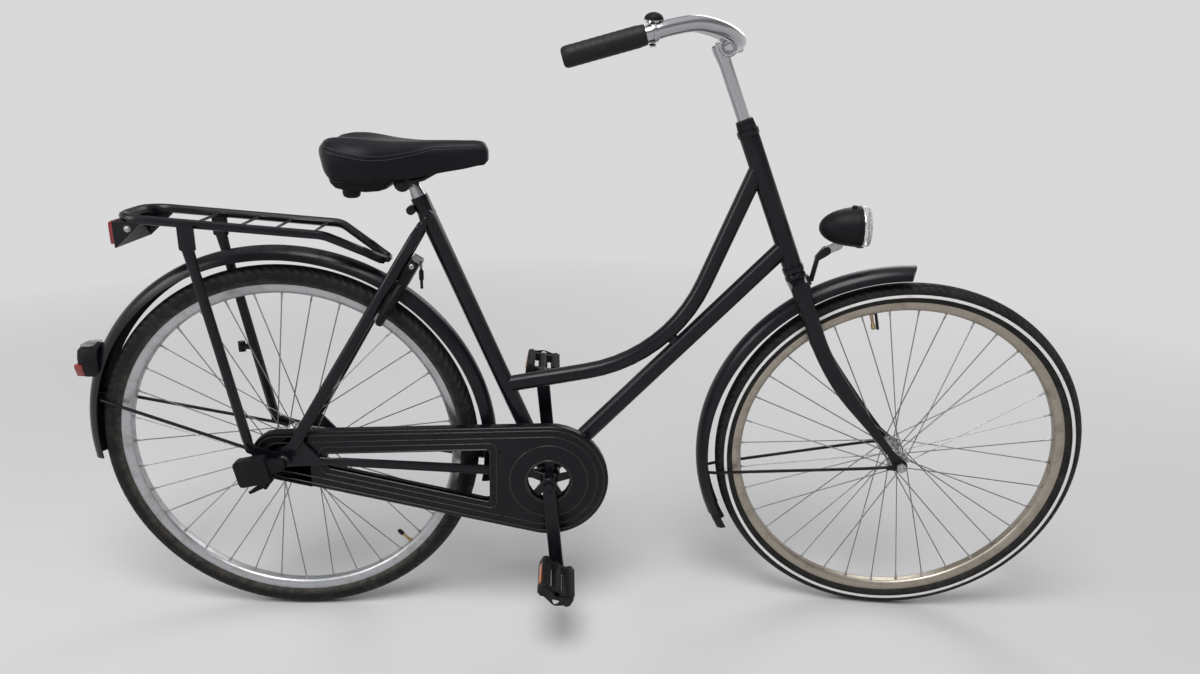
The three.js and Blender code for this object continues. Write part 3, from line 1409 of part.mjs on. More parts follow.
function stem() {
  const foot = steerAt(headTubeHigh - quillBelow);
  const neck = steerAt(stemRise - stemClampRadius / 2);
  const clamp = crossRod(barCentre.x, barCentre.z, -stemClampHalf, stemClampHalf, stemClampRadius, 14);
  const bore = crossRod(barCentre.x, barCentre.z, -stemClampHalf - overrun, stemClampHalf + overrun,
    clear(barRadius), tubeSides);
  const quill = rod(foot, neck, quillRadius, quillRadius, 14);
  const ears = box(barCentre.x + stemClampRadius / 2, barCentre.x + stemClampRadius * 1.5,
    -stemClampHalf / 3, stemClampHalf / 3,
    barCentre.z - stemClampRadius / 2, barCentre.z + stemClampRadius / 6);
  return cut(join(quill, clamp, ears), bore);
}

// Bell on the right of the bar, its thumb lever on a pin below
function bellPieces() {
  const route = barRoute();
  const place = route[3].clone().lerp(route[2], bell.share);
  const along = route[3].clone().sub(route[2]).normalize();
  const start = place.clone().addScaledVector(along, -bell.clampWidth / 2);
  const end = place.clone().addScaledVector(along, bell.clampWidth / 2);
  const clampRadius = barRadius + bell.clampWall;
  const above = (height) => point(place.x, place.y, place.z + height);
  const ringPiece = rod(start, end, clampRadius, clampRadius, 12);
  const beside = (height) => above(height).add(point(0, bell.inward, 0));
  const plate = rod(beside(clampRadius - bell.baseHeight / 2), beside(clampRadius + bell.baseHeight / 2),
    bell.radius * 0.8, bell.radius * 0.8, 12);
  const leverHigh = -clampRadius - bell.leverDrop;
  const leverLow = leverHigh - bell.leverThickness;
  const pin = rod(above(leverLow - 2 * gap), above(-barRadius - bell.clampWall / 2), bell.pinRadius,
    bell.pinRadius, 8);
  const head = rod(above(leverLow - bell.leverThickness), above(leverLow - gap), bell.pinRadius * 1.6,
    bell.pinRadius * 1.6, 8);
  const base = cut(join(ringPiece, plate, pin, head), tube(route, clear(barRadius, 10), 10));
  const dome = new THREE.LatheGeometry([
    flat(0, 0), flat(bell.radius, 0), flat(bell.radius * 0.9, bell.height * 0.45),
    flat(bell.radius * 0.55, bell.height * 0.86), flat(0, bell.height),
  ], 16).rotateX(Math.PI / 2);
  const domeFoot = beside(clampRadius + bell.baseHeight / 2 + gap);
  dome.translate(domeFoot.x, domeFoot.y, domeFoot.z);
  const arm = box(place.x - bell.pinRadius, place.x + bell.pinRadius, place.y, place.y + bell.leverLength,
    place.z + leverLow, place.z + leverHigh);
  const eye = rod(above(leverLow), above(leverHigh), 2 * bell.pinRadius, 2 * bell.pinRadius, 10);
  const hole = rod(above(leverLow - overrun), above(leverHigh + overrun), clear(bell.pinRadius, 8),
    clear(bell.pinRadius, 8), 8);
  return { base, dome, lever: cut(join(arm, eye), hole) };
}

// Fork in the straight-ahead position
function bladeRoute(side) {
  const top = steerAt(crownLow + crownHeight / 2);
  const bend = steerAt(bladeBendAlong);
  const tip = frontAxle.clone();
  const way = bend.clone().sub(tip).normalize();
  const foot = tip.clone().addScaledVector(way, forkTipRadius * 0.7);
  const ankle = tip.clone().addScaledVector(way, 3 * forkTipRadius);
  const route = [...rounded([top, bend, ankle], bladeBendRadius, 4), foot];
  const total = route.length - 1;
  return route.map((p, i) => {
    const share = i / total;
    const y = bladeTopY + (bladeTipY - bladeTopY) * Math.min(1, share * 1.17);
    const taper = THREE.MathUtils.clamp((share - 0.57) / 0.28, 0, 1);
    return {
      at: withY(p, side * y),
      depth: bladeDepth + (bladeTipDepth - bladeDepth) * taper,
      width: bladeWidth + (bladeTipWidth - bladeWidth) * taper,
    };
  });
}

function fork() {
  const crownA = steerAt(crownLow);
  const crownB = steerAt(crownLow + crownHeight);
  const crownFront = crownA.clone().lerp(crownB, 0.5);
  const crownOutline = roundedRectangle(-crownDepth, crownDepth, -crownHeight / 2, crownHeight / 2,
    crownHeight / 4);
  const crown = sidePlate(crownOutline, -crownHalfWidth, crownHalfWidth, 2);
  crown.rotateY(radians(headAngle - 90)).translate(crownFront.x, 0, crownFront.z);
  const race = rod(crownB, steerAt(headTubeLow - cupHeight - gap), cupRadius, steererRadius * 1.15, 16);
  const steererTop = steerAt(headTubeHigh + cupHeight + lockNutHeight + gap);
  const steerer = rod(crownFront, steererTop, steererRadius, steererRadius, 16);
  const bore = rod(steerAt(headTubeLow), steerAt(headTubeHigh + 4 * overrun), quillRadius + gap,
    quillRadius + gap, 16);
  const tips = sides.map((side) => {
    const low = side * bladeTipY - forkTipThickness / 2;
    return crossRod(frontAxle.x, frontAxle.z, low, low + forkTipThickness, forkTipRadius, 12);
  });
  const axleHole = crossRod(frontAxle.x, frontAxle.z, -2 * bladeTipY, 2 * bladeTipY,
    clear(frontHub.axleRadius, 8), 8);
  const blades = sides.map((side) => ovalTube(bladeRoute(side), 10));
  return cut(join(crown, race, steerer, ...tips, ...blades), bore, axleHole);
}

function lockNut() {
  const low = headTubeHigh + cupHeight + gap;
  const body = rod(steerAt(low), steerAt(low + lockNutHeight), lockNutRadius, lockNutRadius * 0.9, 8);
  const bore = rod(steerAt(low - overrun), steerAt(low + lockNutHeight + overrun), steererRadius + gap,
    steererRadius + gap, 16);
  return cut(body, bore);
}

const lampPlace = steerAt(crownLow + crownHeight / 2).add(point(lamp.reach, 0, lamp.rise));
const lampPivot = lampPlace.clone().add(point(lamp.pivotForward, 0, -lamp.pivotDrop));

// Head lamp: nose, shell and lens turned about the X axis
function lampPieces() {
  const place = lampPlace;
  const shape = [[0, 0], [0.33, 0.05], [0.62, 0.2], [0.83, 0.42], [0.96, 0.72], [1, 0.94], [1, 1]];
  const outer = shape.map(([r, x]) => flat(r * lamp.radius, x * lamp.length));
  const inner = [
    flat(0, lamp.length * 0.28), flat(lamp.radius * 0.3, lamp.length * 0.3),
    flat(lamp.radius * 0.8, lamp.length * 0.55), flat(lamp.radius - lamp.wall, lamp.length),
    flat(lamp.radius - lamp.wall, lamp.length + overrun),
  ];
  const settle = (geometry) => geometry.rotateZ(-Math.PI / 2).rotateY(-radians(lamp.tilt))
    .translate(place.x, 0, place.z);
  const shell = new THREE.LatheGeometry([...outer, flat(0, lamp.length)], 16);
  const cavity = new THREE.LatheGeometry([...inner, flat(0, lamp.length + overrun)], 16);
  const lensBack = lamp.length + gap;
  const lens = new THREE.LatheGeometry([
    flat(0, lensBack), flat(lamp.radius, lensBack), flat(lamp.radius, lensBack + lamp.lensLength * 0.7),
    flat(lamp.radius * 0.86, lensBack + lamp.lensLength), flat(0, lensBack + lamp.lensLength * 1.1),
  ], 16);
  return { shell: settle(shell), cavity: settle(cavity), lens: settle(lens), place };
}

function lampShellWithFoot(pieces) {
  const foot = sidePlate(hullOutline([
    [lampPivot.x, lampPivot.z, lamp.footRadius],
    [pieces.place.x + lamp.length * 0.5, pieces.place.z - lamp.radius * 0.86, lamp.footRadius],
  ]), -lamp.footHalf, lamp.footHalf);
  const bore = crossRod(lampPivot.x, lampPivot.z, -overrun, overrun, clear(lampArm.bolt, 8), 8);
  return cut(join(pieces.shell, foot), bore, pieces.cavity);
}

function lampBracket() {
  const crown = steerAt(crownLow + crownHeight / 2);
  const root = crown.clone().add(point(crownDepth + 3 * lampArm.pad, 0, crownHeight / 4));
  const earIn = lamp.footHalf + gap;
  const earOut = earIn + lampArm.ear;
  const bolt = crossRod(lampPivot.x, lampPivot.z, -earOut - lampArm.bolt, earOut + lampArm.bolt,
    lampArm.bolt, 8);
  const knuckle = lampPivot.clone().add(point(-lampArm.knuckle, 0, -lampArm.knuckle));
  const ears = sides.map((side) => sidePlate(hullOutline([
    [lampPivot.x, lampPivot.z, lamp.footRadius], [knuckle.x, knuckle.z, lampArm.radius],
  ]), Math.min(side * earIn, side * earOut), Math.max(side * earIn, side * earOut)));
  const web = crossRod(knuckle.x, knuckle.z, -earOut, earOut, lampArm.radius);
  const arm = rod(root, knuckle, lampArm.radius, lampArm.radius, 8);
  const pad = box(crownDepth + gap, crownDepth + 3 * lampArm.pad, -lampArm.halfWidth, lampArm.halfWidth,
    -crownHeight / 3, crownHeight / 3);
  pad.rotateY(radians(headAngle - 90)).translate(crown.x, 0, crown.z);
  return join(bolt, ...ears, web, arm, pad);
}

// Ring lock in a frame of its own: x to the left, y up along the stays, z forward
function lockMatrix() {
  const way = stayWay();
  const forward = point(way.z, 0, -way.x);
  const middle = stayFoot.clone().addScaledVector(way, lock.ringFromAxle)
    .addScaledVector(forward, lock.offset);
  return new THREE.Matrix4().makeBasis(point(0, 1, 0), way, forward).setPosition(middle);
}

const lockFrame = (geometry) => geometry.applyMatrix4(lockMatrix());
const lockPoint = (x, y, z) => point(x, y, z).applyMatrix4(lockMatrix());
const keyPlace = {
  x: -lock.keyAside, y: lock.ringRadius + lock.crownHeight, z: (lock.front - lock.back) / 2,
};

function lockArc(radius, thickness, from, to, steps, count) {
  const points = Array.from({ length: steps + 1 }, (_, i) => {
    const angle = radians(from + (to - from) * i / steps);
    return point(radius * Math.cos(angle), radius * Math.sin(angle), 0);
  });
  return tube(points, thickness, count);
}

function lockBody() {
  const { x, y, z } = keyPlace;
  const horseshoe = lockArc(lock.ringRadius, lock.caseRadius, lock.openFrom, lock.openTo, 16, 8);
  const channel = lockArc(lock.ringRadius, lock.barRadius + lock.channelPlay, lock.openFrom - overrun,
    lock.openTo + overrun, 16, 8);
  const half = lock.crownHalf;
  const outline = new THREE.Shape();
  outline.moveTo(-half, lock.ringRadius * 0.7);
  outline.lineTo(half, lock.ringRadius * 0.7);
  outline.lineTo(half, y - half / 3);
  outline.quadraticCurveTo(half, y, half * 2 / 3, y);
  outline.lineTo(-half * 2 / 3, y);
  outline.quadraticCurveTo(-half, y, -half, y - half / 3);
  const settings = { depth: lock.back + lock.front, bevelEnabled: false, curveSegments: 3 };
  const crown = new THREE.ExtrudeGeometry(outline, settings).translate(0, 0, -lock.back);
  const disc = rod(point(-half - lock.discHeight, y * 0.86, z), point(0, y * 0.86, z), lock.discRadius,
    lock.discRadius, 10);
  const keyway = rod(point(x, y - key.shaftLength - gap, z), point(x, y + overrun, z), key.shaftRadius + gap,
    key.shaftRadius + gap, 8);
  const inner = lock.ringRadius - lock.caseRadius;
  const inside = rod(point(0, 0, -2 * overrun), point(0, 0, 2 * overrun), inner, inner, 24);
  const lugs = [-1, 1].map((side) => box(side * lock.lugX - lock.lugHalf, side * lock.lugX + lock.lugHalf,
    lock.lugHeight - lock.lugHalf, lock.lugHeight + lock.lugHalf,
    seatStayDepth * seatStayMiddleShare / 2 - lock.offset + gap,
    -(lock.barRadius + lock.channelPlay + lock.caseRadius) / 2));
  return lockFrame(cut(join(horseshoe, crown, disc, ...lugs), inside, channel, keyway));
}

function lockBar() {
  const reach = lock.openTo - lock.openFrom;
  const bar = lockArc(lock.ringRadius, lock.barRadius, lock.openFrom + 1, lock.openFrom + reach * 0.62,
    12, 6);
  return lockFrame(bar);
}

// The key stands in the top of the lock, its bow runs forwards
function lockKey() {
  const { x, y, z } = keyPlace;
  const low = y + key.shoulder;
  const half = key.bowThickness / 2;
  const shaft = rod(point(x, y - key.shaftLength, z), point(x, low + key.bowHeight / 2, z), key.shaftRadius,
    key.shaftRadius, 8);
  const front = lock.front + key.eyeInset;
  const bow = box(x - half, x + half, low, low + key.bowHeight, front - key.bowLength, front);
  const eye = keyEye();
  const hole = rod(point(x - overrun, eye.y, eye.z), point(x + overrun, eye.y, eye.z), key.eyeRadius,
    key.eyeRadius, 8);
  return lockFrame(cut(join(shaft, bow), hole));
}

function keyEye() {
  return point(keyPlace.x, keyPlace.y + key.shoulder + key.bowHeight / 2,
    lock.front + gap);
}

// The second key hangs by a ring from the eye of the first
function spareKey() {
  const eye = keyEye();
  const hang = lockPoint(eye.x, eye.y, eye.z);
  const middle = point(hang.x, hang.y, hang.z - key.ringRadius);
  const loop = ring(key.ringRadius, 12).map((p) => point(middle.x, middle.y + p.x, middle.z + p.y));
  const split = tube([...loop, loop[0]], key.wireRadius, 4);
  const highZ = middle.z - key.ringRadius - key.spareRadius + 2 * key.wireRadius;
  const bowZ = highZ - key.spareLength + 2 * key.spareRadius;
  const half = key.thickness / 2;
  const ends = [[middle.x, highZ, key.spareRadius], [middle.x, bowZ, key.spareRadius]];
  const bow = sidePlate(hullOutline(ends, 12),
    middle.y - half, middle.y + half);
  const blade = box(middle.x - key.bladeWidth / 2, middle.x + key.bladeWidth / 2, middle.y - half / 2,
    middle.y + half / 2, bowZ - key.spareRadius - key.bladeLength, bowZ);
  return join(split, bow, blade);
}

function seatPost() {
  const low = seatAt(seatTubeLength - postBelow);
  const shoulder = seatAt(seatTubeLength + postVisible);
  const neck = seatAt(seatTubeLength + postVisible + postTaper);
  const barrel = crossRod(clampCentre.x, clampCentre.z, -clampBarrel.halfWidth, clampBarrel.halfWidth,
    clampBarrel.radius, 14);
  const bore = crossRod(clampCentre.x, clampCentre.z, -2 * clampBarrel.halfWidth, 2 * clampBarrel.halfWidth,
    clear(clampBolt, 8), 8);
  return cut(join(
    rod(low, shoulder, seatPostRadius, seatPostRadius, 14),
    rod(shoulder, neck, seatPostRadius, postTopRadius, 14),
    rod(neck, postTop, postTopRadius, postTopRadius, 14),
    rod(clampCentre, postTop, postTopRadius * 0.9, postTopRadius * 0.9, 10),
    barrel,
  ), bore);
}

const saddleRailY = clampBarrel.halfWidth + gap + clampPlate.thickness / 2;

function saddleFrame() {
  const inY = clampBarrel.halfWidth + gap;
  const outY = inY + clampPlate.thickness;
  const plates = sides.map((side) => crossRod(clampCentre.x, clampCentre.z, Math.min(side * inY, side * outY),
    Math.max(side * inY, side * outY), clampPlate.radius, 14));
  const railY = saddleRailY;
  const railUnder = (share) => saddleTop - saddle.depth * share.low + saddle.hollow - saddle.plate
    - 2 * gap - railRadius;
  const rearX = saddleRear + saddle.length * saddleShares[2].along;
  const frontX = saddleRear + saddle.length * saddleShares[7].along;
  const rearEnd = point(rearX, railY * 2, railUnder(saddleShares[2]));
  const frontEnd = point(frontX, railY / 2, railUnder(saddleShares[7]));
  const run = clampCentre.z + clampPlate.radius * 0.3;
  const rails = sides.map((side) => tube(rounded([
    withY(rearEnd, side * rearEnd.y),
    point(clampCentre.x - 2 * clampPlate.radius, side * railY, run),
    point(clampCentre.x + 2 * clampPlate.radius, side * railY, run),
    withY(frontEnd, side * frontEnd.y),
  ], 2 * clampPlate.radius, 1), railRadius, wireSides));
  const boltY = outY + 2 * clampBolt;
  const bolt = crossRod(clampCentre.x, clampCentre.z, -boltY, boltY, clampBolt, 8);
  const nutFrom = outY - gap;
  const nutTo = outY + clampBolt;
  const nuts = sides.map((side) => crossRod(clampCentre.x, clampCentre.z,
    Math.min(side * nutFrom, side * nutTo), Math.max(side * nutFrom, side * nutTo), 2 * clampBolt, 6));
  const cross = [rearEnd, frontEnd].map((p) => crossRod(p.x, p.z, -p.y, p.y, railRadius, wireSides));
  return join(...plates, ...rails, bolt, ...nuts, ...cross);
}

// Assembly
const rearNutSeat = rackStrapY + rackLegPlate.thickness + gap;
const frontSeat = bladeTipY + forkTipThickness / 2 + gap;
const frontNutSeat = frontSeat + stayEyeThickness + gap;
const cranks = { right: crankArm(-1, 1), left: crankArm(1, -1) };
const lampParts = lampPieces();
const tailParts = tailLampPieces();
const bellParts = bellPieces();

add('frame', frame(), 'blackPaint');
add('seat_stay_right', seatStay(-1), 'blackPaint');
add('seat_stay_left', seatStay(1), 'blackPaint');
add('headset_cup_upper', headsetCup(headTubeHigh + gap, headTubeHigh + cupHeight), 'blackPaint');
add('headset_cup_lower', headsetCup(headTubeLow - cupHeight, headTubeLow - gap), 'blackPaint');
add('rear_axle', axleWithNuts(rearAxle, rearHub.axleRadius, gearBox.inY + gearBoxNeck.depth, rearAxleHalf,
  rearNutSeat), 'steel');
add('brake_arm', coasterArm(), 'steel');
add('rear_mudguard', mudguard(rearAxle, rearGuardRadius, rearMudguardStart, rearMudguardEnd,
  rearGuardSteps), 'blackPaint');
add('rear_mudguard_stay', stayWire(rearAxle, rearAxle, rearGuardRadius(rearStayAngle), rearStayAngle,
  rearStayY + stayEyeThickness / 2), 'steel');
add('rack_platform', rackPlatform(), 'blackPaint');
add('rack_leg_right', rackLeg(-1), 'blackPaint');
add('rack_leg_left', join(rackLeg(1), pumpClipOn()), 'blackPaint');
add('rear_reflector', rearReflector(), 'redLens');
add('tail_lamp_body', tailParts.body, 'blackPlastic');
add('tail_lamp_lens', tailParts.lens, 'redLens');
add('ring_lock_body', lockBody(), 'blackPlastic');
add('ring_lock_shackle', lockBar(), 'steel');
add('ring_lock_key', lockKey(), 'steel');
add('spare_key', spareKey(), 'steel');
add('chain_case_outer', caseOuter(), 'caseBlack');
add('chain_case_inner', caseInner(), 'caseBlack');
add('chain_case_end', caseCap(), 'blackPlastic');
add('drive_chain', driveChain(), 'steel');
add('chainring', chainring(), 'blackPaint');
add('crank_axle', crankSpindle(), 'steel');
add('crank_right', cranks.right.geometry, 'chrome');
add('crank_left', cranks.left.geometry, 'chrome');
add('pedal_right', pedalBody(-1, cranks.right.end, pedal.rightTurn), 'blackPlastic');
add('pedal_left', pedalBody(1, cranks.left.end, pedal.leftTurn), 'blackPlastic');
add('rear_sprocket', sprocket(), 'steel');
add('gear_box', gearBoxBody(), 'blackPlastic');
add('gear_lever', gearLeverArm(), 'blackPlastic');
wheel('rear', rearAxle, rearHub, 'aluminium', bike);
add('seat_post', seatPost(), 'steel');
add('saddle_frame', saddleFrame(), 'blackPaint');
add('saddle_base', saddleBase(), 'blackPlastic');
add('saddle_cover', saddleCover(), 'vinyl');

add('fork', fork(), 'blackPaint', straightened);
add('headset_locknut', lockNut(), 'blackPaint', straightened);
add('front_axle', axleWithNuts(frontAxle, frontHub.axleRadius, frontAxleHalf, frontAxleHalf, frontNutSeat),
  'steel', straightened);
add('front_mudguard', frontMudguard(), 'blackPaint', straightened);
add('front_mudguard_stay', stayWire(frontAxle, frontGuardCentre, frontMudguardRadius, frontStayAngle,
  frontSeat + stayEyeThickness / 2), 'steel', straightened);
add('mud_flap', mudFlap(), 'rubber', straightened);
add('headlamp_bracket', lampBracket(), 'blackPaint', straightened);
add('headlamp_shell', lampShellWithFoot(lampParts), 'blackPlastic', straightened);
add('headlamp_lens', lampParts.lens, 'clearLens', straightened);
add('stem', stem(), 'chrome', straightened);
add('handlebar', handlebar(), 'chrome', straightened);
add('grip_right', grip(-1), 'rubber', straightened);
add('grip_left', grip(1), 'rubber', straightened);
add('bell_base', bellParts.base, 'blackPlastic', straightened);
add('bell_dome', bellParts.dome, 'caseBlack', straightened);
add('bell_lever', bellParts.lever, 'blackPlastic', straightened);
wheel('front', frontAxle, frontHub, 'oldRim', straightened);

export default bike;
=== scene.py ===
"""The looks of a step-through city bicycle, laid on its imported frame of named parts, in metres."""

import json
import math

import bmesh
import bpy
from mathutils import Matrix, Vector


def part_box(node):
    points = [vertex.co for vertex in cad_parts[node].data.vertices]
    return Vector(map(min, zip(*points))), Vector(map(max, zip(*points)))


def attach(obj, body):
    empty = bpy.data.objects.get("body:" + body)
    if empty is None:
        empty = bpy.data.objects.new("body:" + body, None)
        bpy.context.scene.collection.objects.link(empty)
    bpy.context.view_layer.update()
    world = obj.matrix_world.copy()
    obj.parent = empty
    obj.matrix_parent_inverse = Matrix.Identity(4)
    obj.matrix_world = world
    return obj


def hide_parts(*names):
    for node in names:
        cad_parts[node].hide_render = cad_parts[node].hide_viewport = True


bl_info = {
    "name": "City bicycle",
    "version": (1, 0, 0),
    "blender": (4, 5, 0),
    "location": "3D View > Sidebar > Bicycle",
    "description": "Dresses the frame of a step-through city bicycle with its finishes and its fine pieces",
    "category": "Add Mesh",
}

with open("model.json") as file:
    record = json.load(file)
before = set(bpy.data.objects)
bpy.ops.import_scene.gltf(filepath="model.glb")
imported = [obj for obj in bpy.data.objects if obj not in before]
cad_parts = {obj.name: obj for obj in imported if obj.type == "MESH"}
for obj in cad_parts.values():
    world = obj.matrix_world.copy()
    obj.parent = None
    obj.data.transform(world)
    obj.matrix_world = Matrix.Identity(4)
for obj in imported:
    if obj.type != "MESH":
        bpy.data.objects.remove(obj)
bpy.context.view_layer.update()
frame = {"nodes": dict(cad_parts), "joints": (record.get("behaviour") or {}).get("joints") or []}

# Places that come from the frame
JOINTS = {joint["name"]: joint for joint in frame["joints"]}


def joint_place(name):
    """Where a joint's axis runs"""
    return Vector(JOINTS[name]["pos_m"])


def joint_axis(name):
    """The way that a joint's axis points"""
    return Vector(JOINTS[name]["axis"])


TYRE_LOW, TYRE_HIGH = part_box("rear_tyre")
TYRE_RADIUS = (TYRE_HIGH.z - TYRE_LOW.z) / 2
TYRE_HALF = (TYRE_HIGH.y - TYRE_LOW.y) / 2
REAR_AXLE = Vector((0, 0, TYRE_RADIUS))
BRACKET = joint_place("crank_spin")

# The steering side is modelled straight ahead and turned about the head tube
STEER_TURN = -math.acos(joint_axis("front_wheel_spin").y)
STEER_PLACE = Matrix.Translation(joint_place("steering"))
STEERED = STEER_PLACE @ Matrix.Rotation(STEER_TURN, 4, joint_axis("steering")) @ STEER_PLACE.inverted()
STRAIGHT = STEERED.inverted()
FRONT_AXLE = STRAIGHT @ joint_place("front_wheel_spin")

WHEELS = {
    "rear": Matrix.Translation(REAR_AXLE),
    "front": STEERED @ Matrix.Translation(FRONT_AXLE),
}


# Properties
class BicycleColours(bpy.types.PropertyGroup):
    """Colours of the finishes"""

    enamel: bpy.props.FloatVectorProperty(
        name="Frame enamel", description="Satin black paint of the frame, fork and mudguards",
        subtype="COLOR", size=3, default=(0.0046, 0.0051, 0.0074), min=0, max=1)
    case: bpy.props.FloatVectorProperty(
        name="Chain case", description="Moulded black of the chain case",
        subtype="COLOR", size=3, default=(0.0042, 0.0046, 0.0064), min=0, max=1)
    moulding: bpy.props.FloatVectorProperty(
        name="Small mouldings", description="Black plastic of the lock, lamps and lever",
        subtype="COLOR", size=3, default=(0.0064, 0.0067, 0.0080), min=0, max=1)
    rubber: bpy.props.FloatVectorProperty(
        name="Tyre rubber", description="Black rubber of the tyres, grips and pedals",
        subtype="COLOR", size=3, default=(0.0085, 0.0083, 0.0084), min=0, max=1)
    stripe: bpy.props.FloatVectorProperty(
        name="Reflex stripe", description="Pale ring on the side of the front tyre",
        subtype="COLOR", size=3, default=(0.80, 0.80, 0.78), min=0, max=1)
    plate: bpy.props.FloatVectorProperty(
        name="Plated metal", description="Bright plating of the bar, stem and seat post",
        subtype="COLOR", size=3, default=(0.44, 0.445, 0.46), min=0, max=1)
    zinc: bpy.props.FloatVectorProperty(
        name="Zinc steel", description="Dull plated steel of nuts, hubs and spokes",
        subtype="COLOR", size=3, default=(0.44, 0.44, 0.43), min=0, max=1)
    rear_rim: bpy.props.FloatVectorProperty(
        name="Rear rim", description="Grey alloy of the rear rim",
        subtype="COLOR", size=3, default=(0.50, 0.51, 0.52), min=0, max=1)
    front_rim: bpy.props.FloatVectorProperty(
        name="Front rim", description="Old plated steel of the front rim, gone warm",
        subtype="COLOR", size=3, default=(0.42, 0.38, 0.32), min=0, max=1)
    vinyl: bpy.props.FloatVectorProperty(
        name="Saddle cover", description="Black grained cover of the saddle",
        subtype="COLOR", size=3, default=(0.0044, 0.0048, 0.0070), min=0, max=1)
    red: bpy.props.FloatVectorProperty(
        name="Red lens", description="Rear reflector and tail lamp lens",
        subtype="COLOR", size=3, default=(0.36, 0.012, 0.014), min=0, max=1)
    amber: bpy.props.FloatVectorProperty(
        name="Amber lens", description="Reflectors in the pedals",
        subtype="COLOR", size=3, default=(0.62, 0.17, 0.02), min=0, max=1)


class BicycleSizes(bpy.types.PropertyGroup):
    """Sizes of the fine pieces"""

    stripe_radius: bpy.props.FloatProperty(
        name="Stripe radius", description="Radius of the middle of the tyre's pale ring",
        default=0.3290, unit="LENGTH", min=0.320, max=0.338)
    stripe_width: bpy.props.FloatProperty(
        name="Stripe width", description="Width of the tyre's pale ring",
        default=0.0056, unit="LENGTH", min=0.001, max=0.010)
    tread_pitch: bpy.props.FloatProperty(
        name="Tread pitch", description="Distance from one shoulder groove to the next",
        default=0.0135, unit="LENGTH", min=0.006, max=0.030)
    tread_depth: bpy.props.FloatProperty(
        name="Tread depth", description="Depth of the tread's grooves",
        default=0.0011, unit="LENGTH", min=0.0003, max=0.0025)
    spoke_radius: bpy.props.FloatProperty(
        name="Spoke radius", description="Half the thickness of a spoke",
        default=0.0011, unit="LENGTH", min=0.0008, max=0.0015)
    edge: bpy.props.FloatProperty(
        name="Rounded edge", description="Rounding of pressed and moulded edges",
        default=0.0006, unit="LENGTH", min=0.0001, max=0.0020)
    floor_size: bpy.props.FloatProperty(
        name="Floor size", description="Side of the square floor",
        default=24.0, unit="LENGTH", min=6, max=60)


# Point and face makers
class Form:
    """Points and faces of a piece in the making, with a finish number for each face"""

    def __init__(self):
        self.points = []
        self.faces = []
        self.finishes = []

    def add(self, points, faces, finish=0, place=None):
        first = len(self.points)
        self.points += [place @ Vector(p) if place else Vector(p) for p in points]
        self.faces += [[first + i for i in face] for face in faces]
        self.finishes += [finish] * len(faces)
        return self

    def piece(self, name, body, materials, place=None, crease=32, flat=False, stands_for=()):
        mesh = bpy.data.meshes.new(name)
        mesh.from_pydata([tuple(p) for p in self.points], [], self.faces)
        for polygon, finish in zip(mesh.polygons, self.finishes):
            polygon.material_index = finish
        tidy = bmesh.new()
        tidy.from_mesh(mesh)
        bmesh.ops.remove_doubles(tidy, verts=tidy.verts, dist=1e-6)
        bmesh.ops.recalc_face_normals(tidy, faces=tidy.faces)
        tidy.to_mesh(mesh)
        tidy.free()
        if not flat:
            mesh.shade_smooth()
            mesh.set_sharp_from_angle(angle=math.radians(crease))
        for material in materials if isinstance(materials, (list, tuple)) else [materials]:
            mesh.materials.append(material)
        item = bpy.data.objects.new(name, mesh)
        bpy.context.scene.collection.objects.link(item)
        if place:
            item.matrix_world = place
        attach(item, body)
        if stands_for:
            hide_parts(*stands_for)
        return item


def ring_faces(rings, count, closed=False, ends=False):
    """Faces that join rings of count points each, first to last"""
    faces = []
    for r in range(rings if closed else rings - 1):
        here, there = r * count, (r + 1) % rings * count
        for i in range(count):
            j = (i + 1) % count
            faces.append([here + i, here + j, there + j, there + i])
    if ends:
        faces.append(list(range(count))[::-1])
        faces.append(list(range((rings - 1) * count, rings * count)))
    return faces


def turned(profile, steps, start=0.0, sweep=math.tau):
    """Points and faces of a closed profile of (radius, y) turned about the Y axis"""
    full = abs(sweep - math.tau) < 1e-6
    rings = steps if full else steps + 1
    points = []
    for s in range(rings):
        angle = start + sweep * s / steps
        points += [(r * math.cos(angle), y, r * math.sin(angle)) for r, y in profile]
    return points, ring_faces(rings, len(profile), closed=full, ends=not full)


def frames_along(path):
    """Two directions across the path at each of its points, carried along without twist"""
    count = len(path)
    ways = [(path[min(i + 1, count - 1)] - path[max(i - 1, 0)]).normalized() for i in range(count)]
    side = ways[0].orthogonal().normalized()
    frames = []
    for way in ways:
        side = (side - way * side.dot(way)).normalized()
        frames.append((side, way.cross(side)))
    return frames


def swept(path, radii, sides=12):
    """A round bar along a path, with one radius or one for each point"""
    path = [Vector(p) for p in path]
    radii = radii if isinstance(radii, (list, tuple)) else [radii] * len(path)
    points = []
    for point, radius, (a, b) in zip(path, radii, frames_along(path)):
        for i in range(sides):
            turn = math.tau * i / sides
            points.append(point + a * radius * math.cos(turn) + b * radius * math.sin(turn))
    return points, ring_faces(len(path), sides, ends=True)


def lofted(loops, ends=True):
    """A skin through loops of the same number of points"""
    return [p for loop in loops for p in loop], ring_faces(len(loops), len(loops[0]), ends=ends)


def slab(outline, low, high):
    """An outline of (x, z) points made solid from y low to y high"""
    count = len(outline)
    points = [(x, y, z) for y in (low, high) for x, z in outline]
    return points, ring_faces(2, count, ends=True)


def circle(x, z, radius, count=24, start=0.0, sweep=math.tau):
    """Points of (x, z) round a circle, or along a part of it"""
    steps = count if abs(sweep - math.tau) < 1e-6 else count - 1
    turns = [start + sweep * i / steps for i in range(count)]
    return [(x + radius * math.cos(turn), z + radius * math.sin(turn)) for turn in turns]


